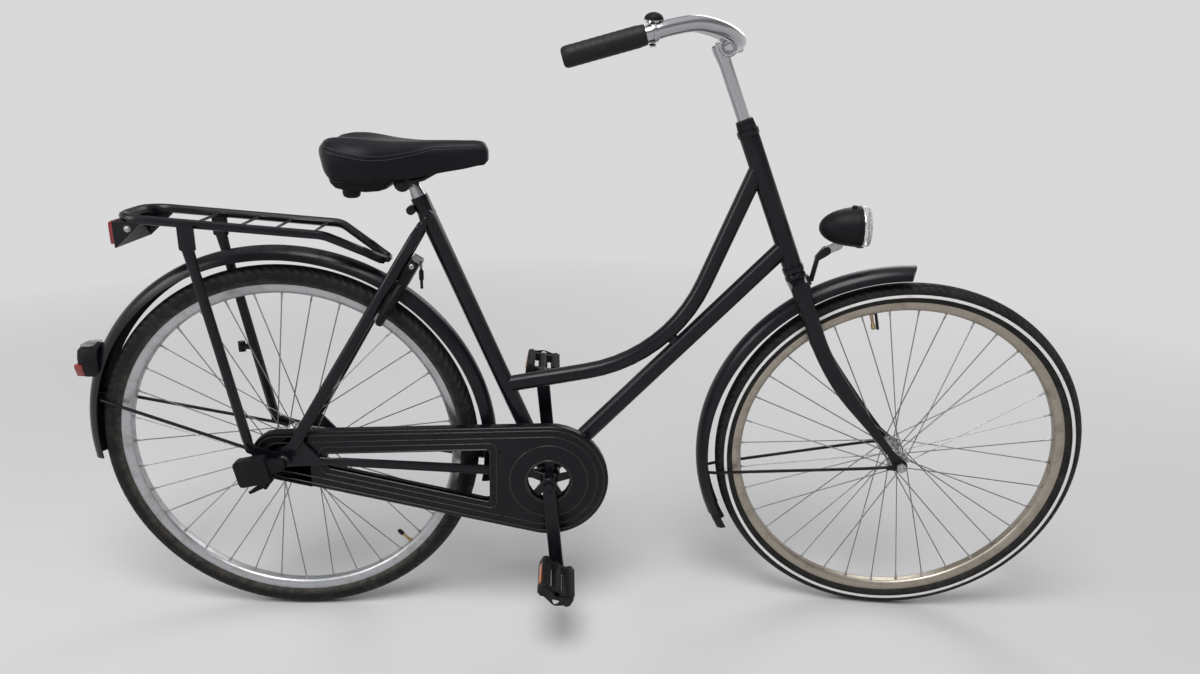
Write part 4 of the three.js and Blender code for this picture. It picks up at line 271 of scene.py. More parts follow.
def softened_box(half_x, half_z, corner, steps=4):
    """A rectangle with round corners, as (x, z) points"""
    outline = []
    for quarter, (sx, sz) in enumerate([(1, 1), (-1, 1), (-1, -1), (1, -1)]):
        outline += circle(sx * (half_x - corner), sz * (half_z - corner), corner, steps,
                          math.pi / 2 * quarter, math.pi / 2)
    return outline


def spline(points, count):
    """Evenly spaced points on a smooth curve through the given ones"""
    points = [Vector(p) for p in points]
    dense = []
    for i in range(len(points) - 1):
        a = points[max(i - 1, 0)]
        b, c = points[i], points[i + 1]
        d = points[min(i + 2, len(points) - 1)]
        for s in range(12):
            t = s / 12
            dense.append(0.5 * (2 * b + (c - a) * t + (2 * a - 5 * b + 4 * c - d) * t * t
                                + (3 * b - a - 3 * c + d) * t * t * t))
    dense.append(points[-1])
    return evenly(dense, count)


def evenly(path, count):
    """The same line in points that are equally far apart"""
    lengths = [0.0]
    for a, b in zip(path, path[1:]):
        lengths.append(lengths[-1] + (b - a).length)
    found, k = [], 0
    for i in range(count):
        aim = lengths[-1] * i / (count - 1)
        while k < len(path) - 2 and lengths[k + 1] < aim:
            k += 1
        share = (aim - lengths[k]) / max(lengths[k + 1] - lengths[k], 1e-9)
        found.append(path[k].lerp(path[k + 1], min(max(share, 0), 1)))
    return found


def round_edges(item, width, angle=32, segments=2):
    """Rounds the sharp edges of a piece"""
    bevel = item.modifiers.new("Rounded edges", "BEVEL")
    bevel.width = width
    bevel.segments = segments
    bevel.limit_method = "ANGLE"
    bevel.angle_limit = math.radians(angle)
    bevel.harden_normals = True
    return item


def axis_turn(way):
    """The turn that brings the Y axis onto a direction"""
    return Vector((0, 1, 0)).rotation_difference(Vector(way)).to_matrix().to_4x4()


def at(place, way=(0, 1, 0)):
    """A place whose Y axis points along a direction"""
    return Matrix.Translation(Vector(place)) @ axis_turn(way)


NUT_EASE_SHARE = 0.06


def nut_form(form, place, across, height, finish=0, sides=6):
    """A nut or bolt head on the Y axis with its corners taken down"""
    radius = across / 2 / math.cos(math.pi / sides)
    ease = across * NUT_EASE_SHARE
    loops = []
    for y, r in ((0, radius), (height - ease, radius), (height, radius - ease)):
        loops.append([(r * math.cos(math.tau * i / sides), y, r * math.sin(math.tau * i / sides))
                      for i in range(sides)])
    points, faces = lofted(loops)
    form.add(points, faces, finish, place)
    return form


def dome_form(form, place, radius, height, finish=0, steps=20, rows=5, brim=0.0):
    """A round cap on the Y axis"""
    profile = [(0.0, 0.0), (radius, 0.0), (radius, brim)]
    for i in range(1, rows):
        rise = math.pi / 2 * i / rows
        profile.append((radius * math.cos(rise), brim + (height - brim) * math.sin(rise)))
    profile.append((0.0, height))
    points, faces = turned(profile, steps)
    form.add(points, faces, finish, place)
    return form


# Finishes
class Finish:
    """A material made from shader nodes, with the Principled shader at its end"""

    def __init__(self, name, colour, roughness, metallic=0.0, **sockets):
        self.material = bpy.data.materials.new(name)
        self.material.use_nodes = True
        self.nodes = self.material.node_tree.nodes
        self.links = self.material.node_tree.links
        self.shader = self.nodes["Principled BSDF"]
        self.shader.inputs["Base Color"].default_value = (*colour, 1)
        self.shader.inputs["Roughness"].default_value = roughness
        self.shader.inputs["Metallic"].default_value = metallic
        for socket, value in sockets.items():
            self.shader.inputs[socket.replace("_", " ")].default_value = value
        self.place = self.nodes.new("ShaderNodeTexCoord").outputs["Object"]
        self.colour = tuple(colour)
        self.height = None

    def node(self, kind, inputs=None, **settings):
        made = self.nodes.new(kind)
        for setting, value in settings.items():
            setattr(made, setting, value)
        for socket, value in (inputs or {}).items():
            if isinstance(value, bpy.types.NodeSocket):
                self.links.new(value, made.inputs[socket])
            else:
                made.inputs[socket].default_value = value
        return made

    def sum(self, kind, a, b=0.0, c=0.0):
        return self.node("ShaderNodeMath", {0: a, 1: b, 2: c}, operation=kind).outputs[0]

    def noise(self, scale, detail=3.0, roughness=0.55, place=None, distortion=0.0):
        return self.node("ShaderNodeTexNoise", {
            "Vector": place or self.place, "Scale": scale, "Detail": detail, "Roughness": roughness,
            "Distortion": distortion}).outputs["Fac"]

    def cells(self, scale, feature="F1", randomness=1.0, place=None):
        return self.node("ShaderNodeTexVoronoi", {
            "Vector": place or self.place, "Scale": scale, "Randomness": randomness},
            feature=feature).outputs["Distance"]

    def stretched(self, x, y, z):
        return self.node("ShaderNodeMapping", {"Vector": self.place, "Scale": (x, y, z)}).outputs[0]

    def band(self, value, low, high, to_low=0.0, to_high=1.0):
        return self.node("ShaderNodeMapRange", {
            "Value": value, "From Min": low, "From Max": high, "To Min": to_low, "To Max": to_high},
            clamp=True).outputs["Result"]

    def shade(self, factor, colour):
        """Lays another colour over the present one by a factor"""
        socket = self.shader.inputs["Base Color"]
        below = socket.links[0].from_socket if socket.links else (*self.colour, 1)
        mix = self.node("ShaderNodeMix", {0: factor, 6: below, 7: (*colour, 1)}, data_type="RGBA")
        self.links.new(mix.outputs[2], socket)
        return self

    def rough(self, factor, low, high):
        """Varies the roughness between two values by a factor"""
        self.links.new(self.band(factor, 0, 1, low, high), self.shader.inputs["Roughness"])
        return self

    def raise_by(self, height, distance, strength=1.0):
        """Adds a relief, with its height in metres"""
        inputs = {"Height": height, "Distance": distance, "Strength": strength}
        if self.height is not None:
            inputs["Normal"] = self.height
        self.height = self.node("ShaderNodeBump", inputs).outputs["Normal"]
        self.links.new(self.height, self.shader.inputs["Normal"])
        return self

    def polar(self):
        """Radius from the Y axis and angle about it"""
        parts = self.node("ShaderNodeSeparateXYZ", {0: self.place}).outputs
        return self.away(parts[0], parts[2]), self.sum("ARCTAN2", parts[2], parts[0]), parts[1]

    def away(self, a, b):
        """Distance from an axis, from the two parts of the place across it"""
        return self.sum("SQRT", self.sum("ADD", self.sum("MULTIPLY", a, a), self.sum("MULTIPLY", b, b)))


def dust(finish, amount=0.10, scale=26.0, colour=(0.16, 0.15, 0.14)):
    """Thin grey dust and handling marks, in soft uneven patches"""
    patches = finish.band(finish.noise(scale, 6, 0.7), 0.48, 0.78, 0, amount)
    return finish.shade(patches, colour)


def scuffs(finish, amount=0.35, colour=(0.10, 0.10, 0.10), scale=60.0):
    """Short fine scratches in two directions"""
    for stretch in ((1, 1, 14), (12, 1, 1)):
        lines = finish.noise(scale, 2, 0.5, finish.stretched(*stretch), 0.4)
        finish.shade(finish.band(lines, 0.70, 0.76, 0, amount), colour)
    return finish


def make_enamel(colours):
    """Satin black enamel over steel, a little uneven, dusty and scratched"""
    enamel = Finish("satin_enamel", colours.enamel, 0.30, 0.0, Specular_IOR_Level=0.20, Coat_Weight=0.12,
                    Coat_Roughness=0.24)
    dust(enamel, 0.07, 20, (0.05, 0.05, 0.055))
    scuffs(enamel, 0.20, (0.07, 0.07, 0.07))
    enamel.rough(enamel.noise(34, 5, 0.6), 0.21, 0.38)
    enamel.raise_by(enamel.noise(260, 2), 0.00001, 0.5)
    return enamel.material


def make_case(colours, name="case_moulding", painted_highlight=0.0):
    """Moulded chain case plastic with a low sheen and scuffs along it, or a lighter variant whose lifted
    colour is a painted highlight on the ribs
    """
    # A lift in colour here is a painted highlight; it makes the lighter finish for the ribs
    case = Finish(name, tuple(c + painted_highlight for c in colours.case), 0.34, 0.0, Specular_IOR_Level=0.17,
                  Coat_Weight=0.10, Coat_Roughness=0.20)
    dust(case, 0.07, 14, (0.05, 0.05, 0.055))
    scuffs(case, 0.20, (0.07, 0.07, 0.07), 44)
    case.rough(case.noise(22, 6, 0.65), 0.18 - 3 * painted_highlight, 0.36 - 6 * painted_highlight)
    case.raise_by(case.noise(900, 2), 0.00003, 0.4)
    return case.material


def make_moulding(colours):
    """Small grained plastic mouldings"""
    moulding = Finish("grained_moulding", colours.moulding, 0.48, 0.0, Specular_IOR_Level=0.14)
    dust(moulding, 0.08, 40, (0.05, 0.05, 0.05))
    moulding.rough(moulding.noise(60, 4), 0.38, 0.60)
    moulding.raise_by(moulding.cells(1500), 0.00010, 0.5)
    return moulding.material


def make_plate(colours):
    """Bright plating with fine pits and cloudy patches"""
    plate = Finish("bright_plate", colours.plate, 0.07, 1.0)
    pits = plate.band(plate.cells(520), 0.05, 0.12, 1, 0)
    spots = plate.band(plate.noise(46, 5, 0.6), 0.52, 0.72, 0, 1)
    plate.shade(plate.sum("MULTIPLY", pits, spots), (0.16, 0.11, 0.08))
    plate.rough(plate.noise(30, 5, 0.6), 0.07, 0.24)
    plate.raise_by(plate.noise(160, 3), 0.00004, 0.4)
    return plate.material


def make_zinc(colours):
    """Dull plated steel with dark grime in patches"""
    zinc = Finish("zinc_steel", colours.zinc, 0.38, 1.0)
    zinc.shade(zinc.band(zinc.noise(90, 6, 0.7), 0.50, 0.76, 0, 0.75), (0.11, 0.10, 0.09))
    zinc.shade(zinc.band(zinc.noise(260, 4, 0.7), 0.62, 0.74, 0, 0.5), (0.20, 0.12, 0.07))
    zinc.rough(zinc.noise(120, 4), 0.28, 0.56)
    zinc.raise_by(zinc.noise(500, 3), 0.00005, 0.5)
    return zinc.material


def make_rim(name, colour, stain):
    """A rim rolled from strip, with fine lines round it, stains and road dust"""
    rim = Finish(name, colour, 0.34, 1.0)
    radius, angle, across = rim.polar()
    lines = rim.noise(1.0, 2, 0.5, rim.node("ShaderNodeCombineXYZ", {
        0: rim.sum("MULTIPLY", radius, 2600), 1: rim.sum("MULTIPLY", across, 2600),
        2: rim.sum("MULTIPLY", angle, 1.6)}).outputs[0])
    rim.shade(rim.band(lines, 0.35, 0.70, 0, 0.35), tuple(c * 0.55 for c in colour))
    rim.shade(rim.band(rim.noise(38, 7, 0.72), 0.50, 0.80, 0, 0.80), stain)
    rim.shade(rim.band(rim.noise(300, 3, 0.6), 0.64, 0.76, 0, 0.45), (0.14, 0.10, 0.07))
    rim.rough(rim.noise(70, 5, 0.7), 0.24, 0.52)
    rim.raise_by(lines, 0.00005, 0.4)
    return rim.material


def make_spoke(colours):
    """Drawn spoke wire, dulled"""
    spoke = Finish("spoke_wire", tuple(c * 0.62 for c in colours.zinc), 0.42, 1.0)
    spoke.shade(spoke.band(spoke.noise(120, 5, 0.7), 0.46, 0.72, 0, 0.65), (0.17, 0.15, 0.12))
    spoke.rough(spoke.noise(200, 3), 0.34, 0.54)
    return spoke.material


def make_tyre(colours, name, wear):
    """Tyre rubber with moulded lines on its side, dusty on the tread"""
    tyre = Finish(name, colours.rubber, 0.62, 0.0, Specular_IOR_Level=0.18)
    radius, angle, across = tyre.polar()
    rings = tyre.sum("SINE", tyre.sum("MULTIPLY", radius, 5200))
    side = tyre.band(radius, TYRE_RADIUS - 0.0105, TYRE_RADIUS - 0.0085, 1, 0)
    tyre.shade(tyre.band(tyre.noise(30, 7, 0.75), 0.45, 0.80, 0, 0.30), (0.085, 0.078, 0.070))
    tread = tyre.band(radius, TYRE_RADIUS - 0.0125, TYRE_RADIUS - 0.0100)
    slant = tyre.sum("MULTIPLY", tyre.sum("ABSOLUTE", across), 520)
    foot = tyre.band(radius, TYRE_RADIUS - 0.034, TYRE_RADIUS - 0.022, wear, 0)
    grime = tyre.sum("MULTIPLY", foot, tyre.band(tyre.noise(60, 6, 0.7), 0.30, 0.62))
    tyre.shade(grime, (0.115, 0.103, 0.088))
    grooves = tyre.sum("SINE", tyre.sum("ADD", tyre.sum("MULTIPLY", angle, 128), slant))
    worn = tyre.sum("MULTIPLY", tyre.band(grooves, -0.1, 0.5), tread)
    tyre.shade(tyre.sum("MULTIPLY", worn, 0.15 + 0.5 * wear), (0.048, 0.044, 0.038))
    tyre.rough(tyre.noise(80, 5, 0.6), 0.50, 0.80)
    tyre.raise_by(tyre.sum("MULTIPLY", rings, side), 0.00018, 0.5)
    tyre.raise_by(worn, 0.0003, 0.6)
    tyre.raise_by(tyre.noise(700, 4), 0.00014, 0.5)
    return tyre.material


def make_stripe(colours):
    """Pale reflex ring, a little grimy"""
    stripe = Finish("reflex_stripe", colours.stripe, 0.55)
    stripe.shade(stripe.band(stripe.noise(60, 6, 0.7), 0.52, 0.78, 0, 0.45), (0.36, 0.35, 0.33))
    stripe.raise_by(stripe.cells(1800), 0.00006, 0.5)
    return stripe.material


def make_rubber(colours):
    """Matt moulded rubber"""
    rubber = Finish("pedal_rubber", colours.rubber, 0.66, 0.0, Specular_IOR_Level=0.20)
    dust(rubber, 0.40, 60, (0.075, 0.060, 0.048))
    rubber.rough(rubber.noise(90, 4), 0.52, 0.78)
    rubber.raise_by(rubber.noise(900, 3), 0.00012, 0.5)
    return rubber.material


def make_vinyl(colours):
    """Grained cover stretched over foam"""
    vinyl = Finish("saddle_vinyl", colours.vinyl, 0.34, 0.0, Specular_IOR_Level=0.16)
    vinyl.shade(vinyl.band(vinyl.noise(24, 5, 0.6), 0.46, 0.78, 0, 0.10), (0.030, 0.030, 0.034))
    vinyl.rough(vinyl.noise(40, 5), 0.27, 0.44)
    creases = vinyl.cells(430, "DISTANCE_TO_EDGE")
    vinyl.raise_by(vinyl.band(creases, 0.0, 0.16, 0, 1), 0.00022, 0.6)
    vinyl.raise_by(vinyl.noise(1300, 3), 0.00006, 0.4)
    return vinyl.material


def make_grip(colours):
    """Soft moulded grip, polished by hands"""
    grip = Finish("grip_moulding", tuple(c * 1.2 for c in colours.rubber), 0.52, 0.0, Specular_IOR_Level=0.22)
    dust(grip, 0.12, 50, (0.08, 0.08, 0.08))
    grip.rough(grip.noise(50, 4), 0.40, 0.64)
    grip.raise_by(grip.cells(1300), 0.00012, 0.5)
    return grip.material


def make_lens(name, colour, pitch):
    """A coloured reflex lens with small prisms behind a smooth face, with painted shade darkening the edges
    between the prisms
    """
    lens = Finish(name, colour, 0.10, 0.0, Coat_Weight=0.6, Coat_Roughness=0.05, IOR=1.49,
                  Specular_IOR_Level=0.6)
    prisms = lens.cells(1 / pitch, "F1", 0.0)
    # Darker colour towards the prisms' edges is painted shade between them
    lens.shade(lens.band(prisms, 0.10, 0.62, 0, 0.65), tuple(c * 0.32 for c in colour))
    lens.raise_by(lens.band(prisms, 0.0, 0.7), 0.0009, 0.5)
    return lens.material


def make_clear():
    """Clear moulded lamp glass"""
    clear = Finish("clear_glass", (0.93, 0.94, 0.95), 0.06, 0.0, Transmission_Weight=0.86, IOR=1.45)
    across = clear.node("ShaderNodeSeparateXYZ", {0: clear.place}).outputs[0]
    ribs = clear.sum("SINE", clear.sum("MULTIPLY", across, 2100))
    clear.raise_by(ribs, 0.0004, 0.5)
    return clear.material


def make_mirror_bowl():
    """Bright bowl behind the lamp glass"""
    bowl = Finish("lamp_bowl", (0.86, 0.86, 0.85), 0.10, 1.0)
    bowl.rough(bowl.noise(60, 3), 0.06, 0.20)
    bowl.raise_by(bowl.noise(90, 3), 0.0002, 0.4)
    return bowl.material


def make_chain_steel():
    """Oiled chain and sprocket steel with dark grease in the low places"""
    chain = Finish("oiled_steel", (0.26, 0.24, 0.22), 0.34, 1.0)
    chain.shade(chain.band(chain.noise(140, 6, 0.7), 0.42, 0.66, 0, 0.85), (0.035, 0.030, 0.026))
    chain.rough(chain.noise(160, 4), 0.24, 0.58)
    chain.raise_by(chain.noise(600, 3), 0.00008, 0.5)
    return chain.material


def make_key_grey():
    """Grey moulded key head"""
    grey = Finish("key_grey", (0.16, 0.165, 0.17), 0.44)
    grey.rough(grey.noise(80, 4), 0.34, 0.56)
    grey.raise_by(grey.noise(900, 2), 0.00008, 0.4)
    return grey.material


def make_brass():
    """Brass of a valve, gone dull"""
    brass = Finish("valve_brass", (0.46, 0.35, 0.19), 0.34, 1.0)
    brass.shade(brass.band(brass.noise(220, 4), 0.45, 0.75, 0, 0.7), (0.12, 0.09, 0.06))
    brass.rough(brass.noise(160, 3), 0.26, 0.50)
    return brass.material


def make_thread():
    """Waxed thread of the saddle's stitches"""
    thread = Finish("saddle_thread", (0.10, 0.10, 0.11), 0.6)
    thread.raise_by(thread.noise(2400, 2), 0.00008, 0.5)
    return thread.material


FINISHES = {}

# Which finish each node of the frame keeps, and how far its edges are rounded
ENAMELLED = ("frame", "rear_mudguard_stay", "front_mudguard_stay",
             "rack_leg_right", "rack_leg_left", "rack_platform", "headset_cup_upper", "headset_cup_lower",
             "headset_locknut", "headlamp_bracket", "saddle_frame", "crank_axle")
PLATED = ("seat_post", "bell_base")
ZINCED = ("rear_axle", "front_axle", "brake_arm", "ring_lock_shackle")
MOULDED = ("tail_lamp_body", "ring_lock_body", "chain_case_end", "gear_box", "bell_lever")
RUBBERED = ("front_inner_tube", "rear_inner_tube", "mud_flap")


def make_finishes(colours):
    """All the finishes by name"""
    FINISHES.update(
        enamel=make_enamel(colours), case=make_case(colours), moulding=make_moulding(colours),
        plate=make_plate(colours), zinc=make_zinc(colours), spoke=make_spoke(colours),
        rear_rim=make_rim("rear_rim_alloy", colours.rear_rim, (0.24, 0.23, 0.21)),
        front_rim=make_rim("front_rim_plate", colours.front_rim, (0.20, 0.15, 0.10)),
        tyre_front=make_tyre(colours, "front_tyre_rubber", 0.15),
        tyre_rear=make_tyre(colours, "rear_tyre_rubber", 0.75), stripe=make_stripe(colours),
        rubber=make_rubber(colours), vinyl=make_vinyl(colours), grip=make_grip(colours),
        red=make_lens("red_reflex", colours.red, 0.0045),
        amber=make_lens("amber_reflex", colours.amber, 0.0035),
        clear=make_clear(), bowl=make_mirror_bowl(), chain=make_chain_steel(),
        # The case_edge finish is the case's colour lifted and made glossier, a painted highlight for the ribs
        key=make_key_grey(), case_edge=make_case(colours, "case_ribs_painted_highlight", 0.02),
        brass=make_brass(), thread=make_thread())


SHADING = "Soft shading"
SHARP_ANGLE = math.radians(34)
WELD_DISTANCE = 0.00002
FLAT_ANGLE = math.radians(0.6)


def soft_shading():
    """A node group that shades faces smooth and keeps edges above its angle sharp"""
    group = bpy.data.node_groups.new(SHADING, "GeometryNodeTree")
    group.interface.new_socket("Geometry", in_out="INPUT", socket_type="NodeSocketGeometry")
    group.interface.new_socket("Geometry", in_out="OUTPUT", socket_type="NodeSocketGeometry")
    nodes, links = group.nodes, group.links
    start, end = nodes.new("NodeGroupInput"), nodes.new("NodeGroupOutput")
    angle = nodes.new("GeometryNodeInputMeshEdgeAngle")
    steep = nodes.new("FunctionNodeCompare")
    steep.operation = "GREATER_THAN"
    steep.inputs[1].default_value = SHARP_ANGLE
    sharp = nodes.new("GeometryNodeSetShadeSmooth")
    sharp.domain = "EDGE"
    sharp.inputs["Shade Smooth"].default_value = False
    smooth = nodes.new("GeometryNodeSetShadeSmooth")
    smooth.domain = "FACE"
    smooth.inputs["Shade Smooth"].default_value = True
    links.new(start.outputs[0], smooth.inputs["Geometry"])
    links.new(smooth.outputs[0], sharp.inputs["Geometry"])
    links.new(angle.outputs["Unsigned Angle"], steep.inputs[0])
    links.new(steep.outputs[0], sharp.inputs["Selection"])
    links.new(sharp.outputs[0], end.inputs[0])
    return group


def dress(node, material, edge):
    """Gives a node of the frame its finish, and rounds and smooths it without touching its own mesh"""
    item = frame["nodes"][node]
    item.data.materials.clear()
    item.data.materials.append(material)
    weld = item.modifiers.new("Joined corners", "WELD")
    weld.merge_threshold = WELD_DISTANCE
    if edge:
        flat = item.modifiers.new("Whole flats", "DECIMATE")
        flat.decimate_type = "DISSOLVE"
        flat.angle_limit = FLAT_ANGLE
        round_edges(item, edge, 38)
        item.modifiers["Rounded edges"].harden_normals = False
    smooth = item.modifiers.new(SHADING, "NODES")
    smooth.node_group = bpy.data.node_groups.get(SHADING) or soft_shading()


# Stage
BACKDROP = (0.70, 0.69, 0.70)
FLOOR_GREY = (0.64, 0.64, 0.645)
FLOOR_CLOUD = (0.60, 0.60, 0.605)
FLOOR_PLACE = (0.5, 0, -0.0005)
# The floor turns into the backdrop between these distances from its middle
FLOOR_FADE = (1.1, 3.4)
LIGHT_STRENGTH = 0.62
# Shares of the way from straight down to straight up, and the colour there: of the room's light on things,
# and of the backdrop that shows directly, in metal and through glass
ROOM_LIGHT = (
    (0.0, (0.26, 0.26, 0.27)), (0.45, (0.18, 0.18, 0.1872)), (0.52, (0.07, 0.07, 0.0728)),
    (0.64, (0.11, 0.11, 0.1144)), (0.76, (0.55, 0.55, 0.572)), (1.0, (0.80, 0.80, 0.82)),
)
ROOM_SEEN = (
    (0.58, BACKDROP), (0.66, (0.30, 0.30, 0.306)), (0.80, (0.26, 0.26, 0.2652)), (0.90, (0.74, 0.74, 0.7548)),
    (1.0, (0.84, 0.84, 0.85)),
)
# Name, place, what it points at, size in metres and power in watts
LAMPS = (
    ("high_window", (0.2, -1.6, 3.6), (0.6, 0, 0.5), 2.0, 90),
    ("left_window", (-3.0, -1.4, 2.2), (0.5, 0, 0.5), 1.6, 40),
    ("back_fill", (2.2, 2.8, 2.6), (0.6, 0, 0.4), 2.2, 34),
)
CAMERA_PLACE = Vector((0.5005, -1.4424, 1.0363))
# Turn, tilt and roll in degrees
CAMERA_TURNS = (-2.97, -17.76, -2.019)
PICTURE_WIDTH, FOCAL_PIXELS = 1200, 814.1


class StageOperator(bpy.types.Operator):
    """Makes the floor, the backdrop, the lamps and the camera"""

    bl_idname = "bicycle.stage"
    bl_label = "Stage"

    def execute(self, context):
        scene = context.scene
        scene.view_settings.view_transform = "Standard"
        self.floor(scene)
        self.room(scene)
        self.lamps(scene)
        self.camera(scene)
        return {"FINISHED"}

    def floor(self, scene):
        """A pale floor that turns into the backdrop far from the bicycle"""
        half = scene.bicycle_sizes.floor_size / 2
        pale = Finish("pale_floor", FLOOR_GREY, 0.75)
        pale.shade(pale.band(pale.noise(1.2, 4), 0.3, 0.8, 0, 0.3), FLOOR_CLOUD)
        pale.raise_by(pale.noise(160, 3), 0.0002, 0.2)
        parts = pale.node("ShaderNodeSeparateXYZ", {0: pale.place}).outputs
        fade = pale.band(pale.away(parts[0], parts[1]), *FLOOR_FADE)
        far = pale.node("ShaderNodeEmission", {"Color": (*BACKDROP, 1)}).outputs[0]
        blend = pale.node("ShaderNodeMixShader", {0: fade, 1: pale.shader.outputs[0], 2: far})
        pale.links.new(blend.outputs[0], pale.nodes["Material Output"].inputs["Surface"])
        mesh = bpy.data.meshes.new("floor")
        corners = [(-half, -half, 0), (half, -half, 0), (half, half, 0), (-half, half, 0)]
        mesh.from_pydata(corners, [], [[0, 1, 2, 3]])
        mesh.materials.append(pale.material)
        floor = bpy.data.objects.new("floor", mesh)
        scene.collection.objects.link(floor)
        floor.location = FLOOR_PLACE

    def room(self, scene):
        """The light of a pale room, and the backdrop that the eye, metal and glass see"""
        world = bpy.data.worlds.new("pale_room")
        scene.world = world
        world.use_nodes = True
        nodes, links = world.node_tree.nodes, world.node_tree.links
        facing = nodes.new("ShaderNodeTexCoord")
        height = nodes.new("ShaderNodeSeparateXYZ")
        span = nodes.new("ShaderNodeMapRange")
        span.inputs["From Min"].default_value = -1
        links.new(facing.outputs["Generated"], height.inputs[0])
        links.new(height.outputs[2], span.inputs["Value"])
        mix = nodes.new("ShaderNodeMixShader")
        shaders = nodes["Background"], nodes.new("ShaderNodeBackground")
        for index, stops, strength in ((0, ROOM_LIGHT, LIGHT_STRENGTH), (1, ROOM_SEEN, 1.0)):
            ramp = nodes.new("ShaderNodeValToRGB")
            links.new(span.outputs[0], ramp.inputs[0])
            elements = ramp.color_ramp.elements
            for element, (place, colour) in ((elements[0], stops[0]), (elements[1], stops[-1])):
                element.position, element.color = place, (*colour, 1)
            for place, colour in stops[1:-1]:
                elements.new(place).color = (*colour, 1)
            shaders[index].inputs["Strength"].default_value = strength
            links.new(ramp.outputs[0], shaders[index].inputs["Color"])
            links.new(shaders[index].outputs[0], mix.inputs[index + 1])
        path = nodes.new("ShaderNodeLightPath")
        shown = path.outputs["Is Camera Ray"]
        for ray in ("Is Transmission Ray", "Is Glossy Ray"):
            either = nodes.new("ShaderNodeMath")
            either.operation = "MAXIMUM"
            links.new(shown, either.inputs[0])
            links.new(path.outputs[ray], either.inputs[1])
            shown = either.outputs[0]
        links.new(shown, mix.inputs[0])
        links.new(mix.outputs[0], nodes["World Output"].inputs["Surface"])

    def lamps(self, scene):
        """Large soft lamps above, to the left and behind"""
        for name, place, aim, size, power in LAMPS:
            lamp = bpy.data.lights.new(name, "AREA")
            lamp.shape = "DISK"
            lamp.size = size
            lamp.energy = power
            item = bpy.data.objects.new(name, lamp)
            item.location = place
            item.rotation_euler = (Vector(aim) - Vector(place)).to_track_quat("-Z", "Y").to_euler()
            scene.collection.objects.link(item)

    def camera(self, scene):
        """The camera stands before the bicycle's right side, a little above it"""
        yaw, pitch, roll = (math.radians(a) for a in CAMERA_TURNS)
        turn = Matrix.Rotation(yaw, 3, "Z") @ Matrix.Rotation(pitch, 3, "X") @ Matrix.Rotation(roll, 3, "Y")
        upright = turn @ Matrix.Rotation(math.pi / 2, 3, "X")
        lens = bpy.data.cameras.new("camera")
        lens.sensor_width = 36
        lens.lens = FOCAL_PIXELS * lens.sensor_width / PICTURE_WIDTH
        lens.clip_start, lens.clip_end = 0.02, 100
        item = bpy.data.objects.new("camera", lens)
        item.matrix_world = Matrix.Translation(CAMERA_PLACE) @ upright.to_4x4()
        scene.collection.objects.link(item)
        scene.camera = item


class FrameOperator(bpy.types.Operator):
    """Enamels, plates and smooths the nodes whose shape is already right"""

    bl_idname = "bicycle.frame"
    bl_label = "Frame finishes"

    def execute(self, context):
        scene = context.scene
        make_finishes(scene.bicycle_colours)
        for nodes, finish in ((ENAMELLED, "enamel"), (PLATED, "plate"), (ZINCED, "zinc"),
                              (MOULDED, "moulding"), (RUBBERED, "rubber")):
            for node in nodes:
                dress(node, FINISHES[finish], scene.bicycle_sizes.edge)
        return {"FINISHED"}


# Wheels, in a frame of their own with the axle along Y
RIM_INNER = 0.298
RIM_TIP = 0.317
RIM_HALF = 0.0123
SPOKE_COUNT = 36
CROSS_ANGLE = math.radians(60)
HUBS = {
    "front": dict(flange=0.020, flange_y=0.029, thick=0.003, barrel=0.0095, cap=0.012, half=0.0494,
                  valve=106.6),
    "rear": dict(flange=0.031, flange_y=0.027, thick=0.004, barrel=0.024, cap=0.020, half=0.045, valve=-45),
}


# Degrees round the tyre's section from its side up to its crown: all points, the grooves and the blocks
TYRE_ANGLES = (-60, -48, -36, -24, -12, 22, 32, 41, 44, 50, 56, 62, 66, 68, 74, 80, 84, 86)
GROOVE_ANGLES = (66, 84)
BLOCK_ANGLES = (44, 50, 56, 62)
BLOCK_LEAN = 9
BLOCK_STEPS = 4


def tyre_form(sizes, striped):
    """The tyre with its tread cut round it"""
    mid = TYRE_RADIUS - TYRE_HALF
    low, high = sizes.stripe_radius - sizes.stripe_width / 2, sizes.stripe_radius + sizes.stripe_width / 2
    stripe = [math.asin((r - mid) / TYRE_HALF) for r in (low, high)]
    side = sorted([math.radians(a) for a in TYRE_ANGLES] + stripe)
    grooves = {math.radians(a) for a in GROOVE_ANGLES}
    blocks = {math.radians(a) for a in BLOCK_ANGLES}
    steps = round(math.tau * TYRE_RADIUS / sizes.tread_pitch) * BLOCK_STEPS
    section = [(a, 1) for a in side] + [(a, -1) for a in reversed(side)]
    form = Form()
    points = []
    for s in range(steps):
        turn = math.tau * s / steps
        for a, hand in section:
            lean = round((a - math.radians(BLOCK_ANGLES[0])) / math.radians(BLOCK_LEAN))
            cut = a in grooves or (a in blocks and (s + lean) % BLOCK_STEPS == 0)
            half = TYRE_HALF - (sizes.tread_depth if cut else 0.0)
            r = mid + half * math.sin(a)
            points.append((r * math.cos(turn), hand * half * math.cos(a), r * math.sin(turn)))
    count = len(section)
    faces = ring_faces(steps, count, closed=True)
    form.add(points, faces)
    if striped:
        k = side.index(stripe[0])
        for index in range(len(faces)):
            if index % count in (k, count - 2 - k):
                form.finishes[index] = 1
    return form


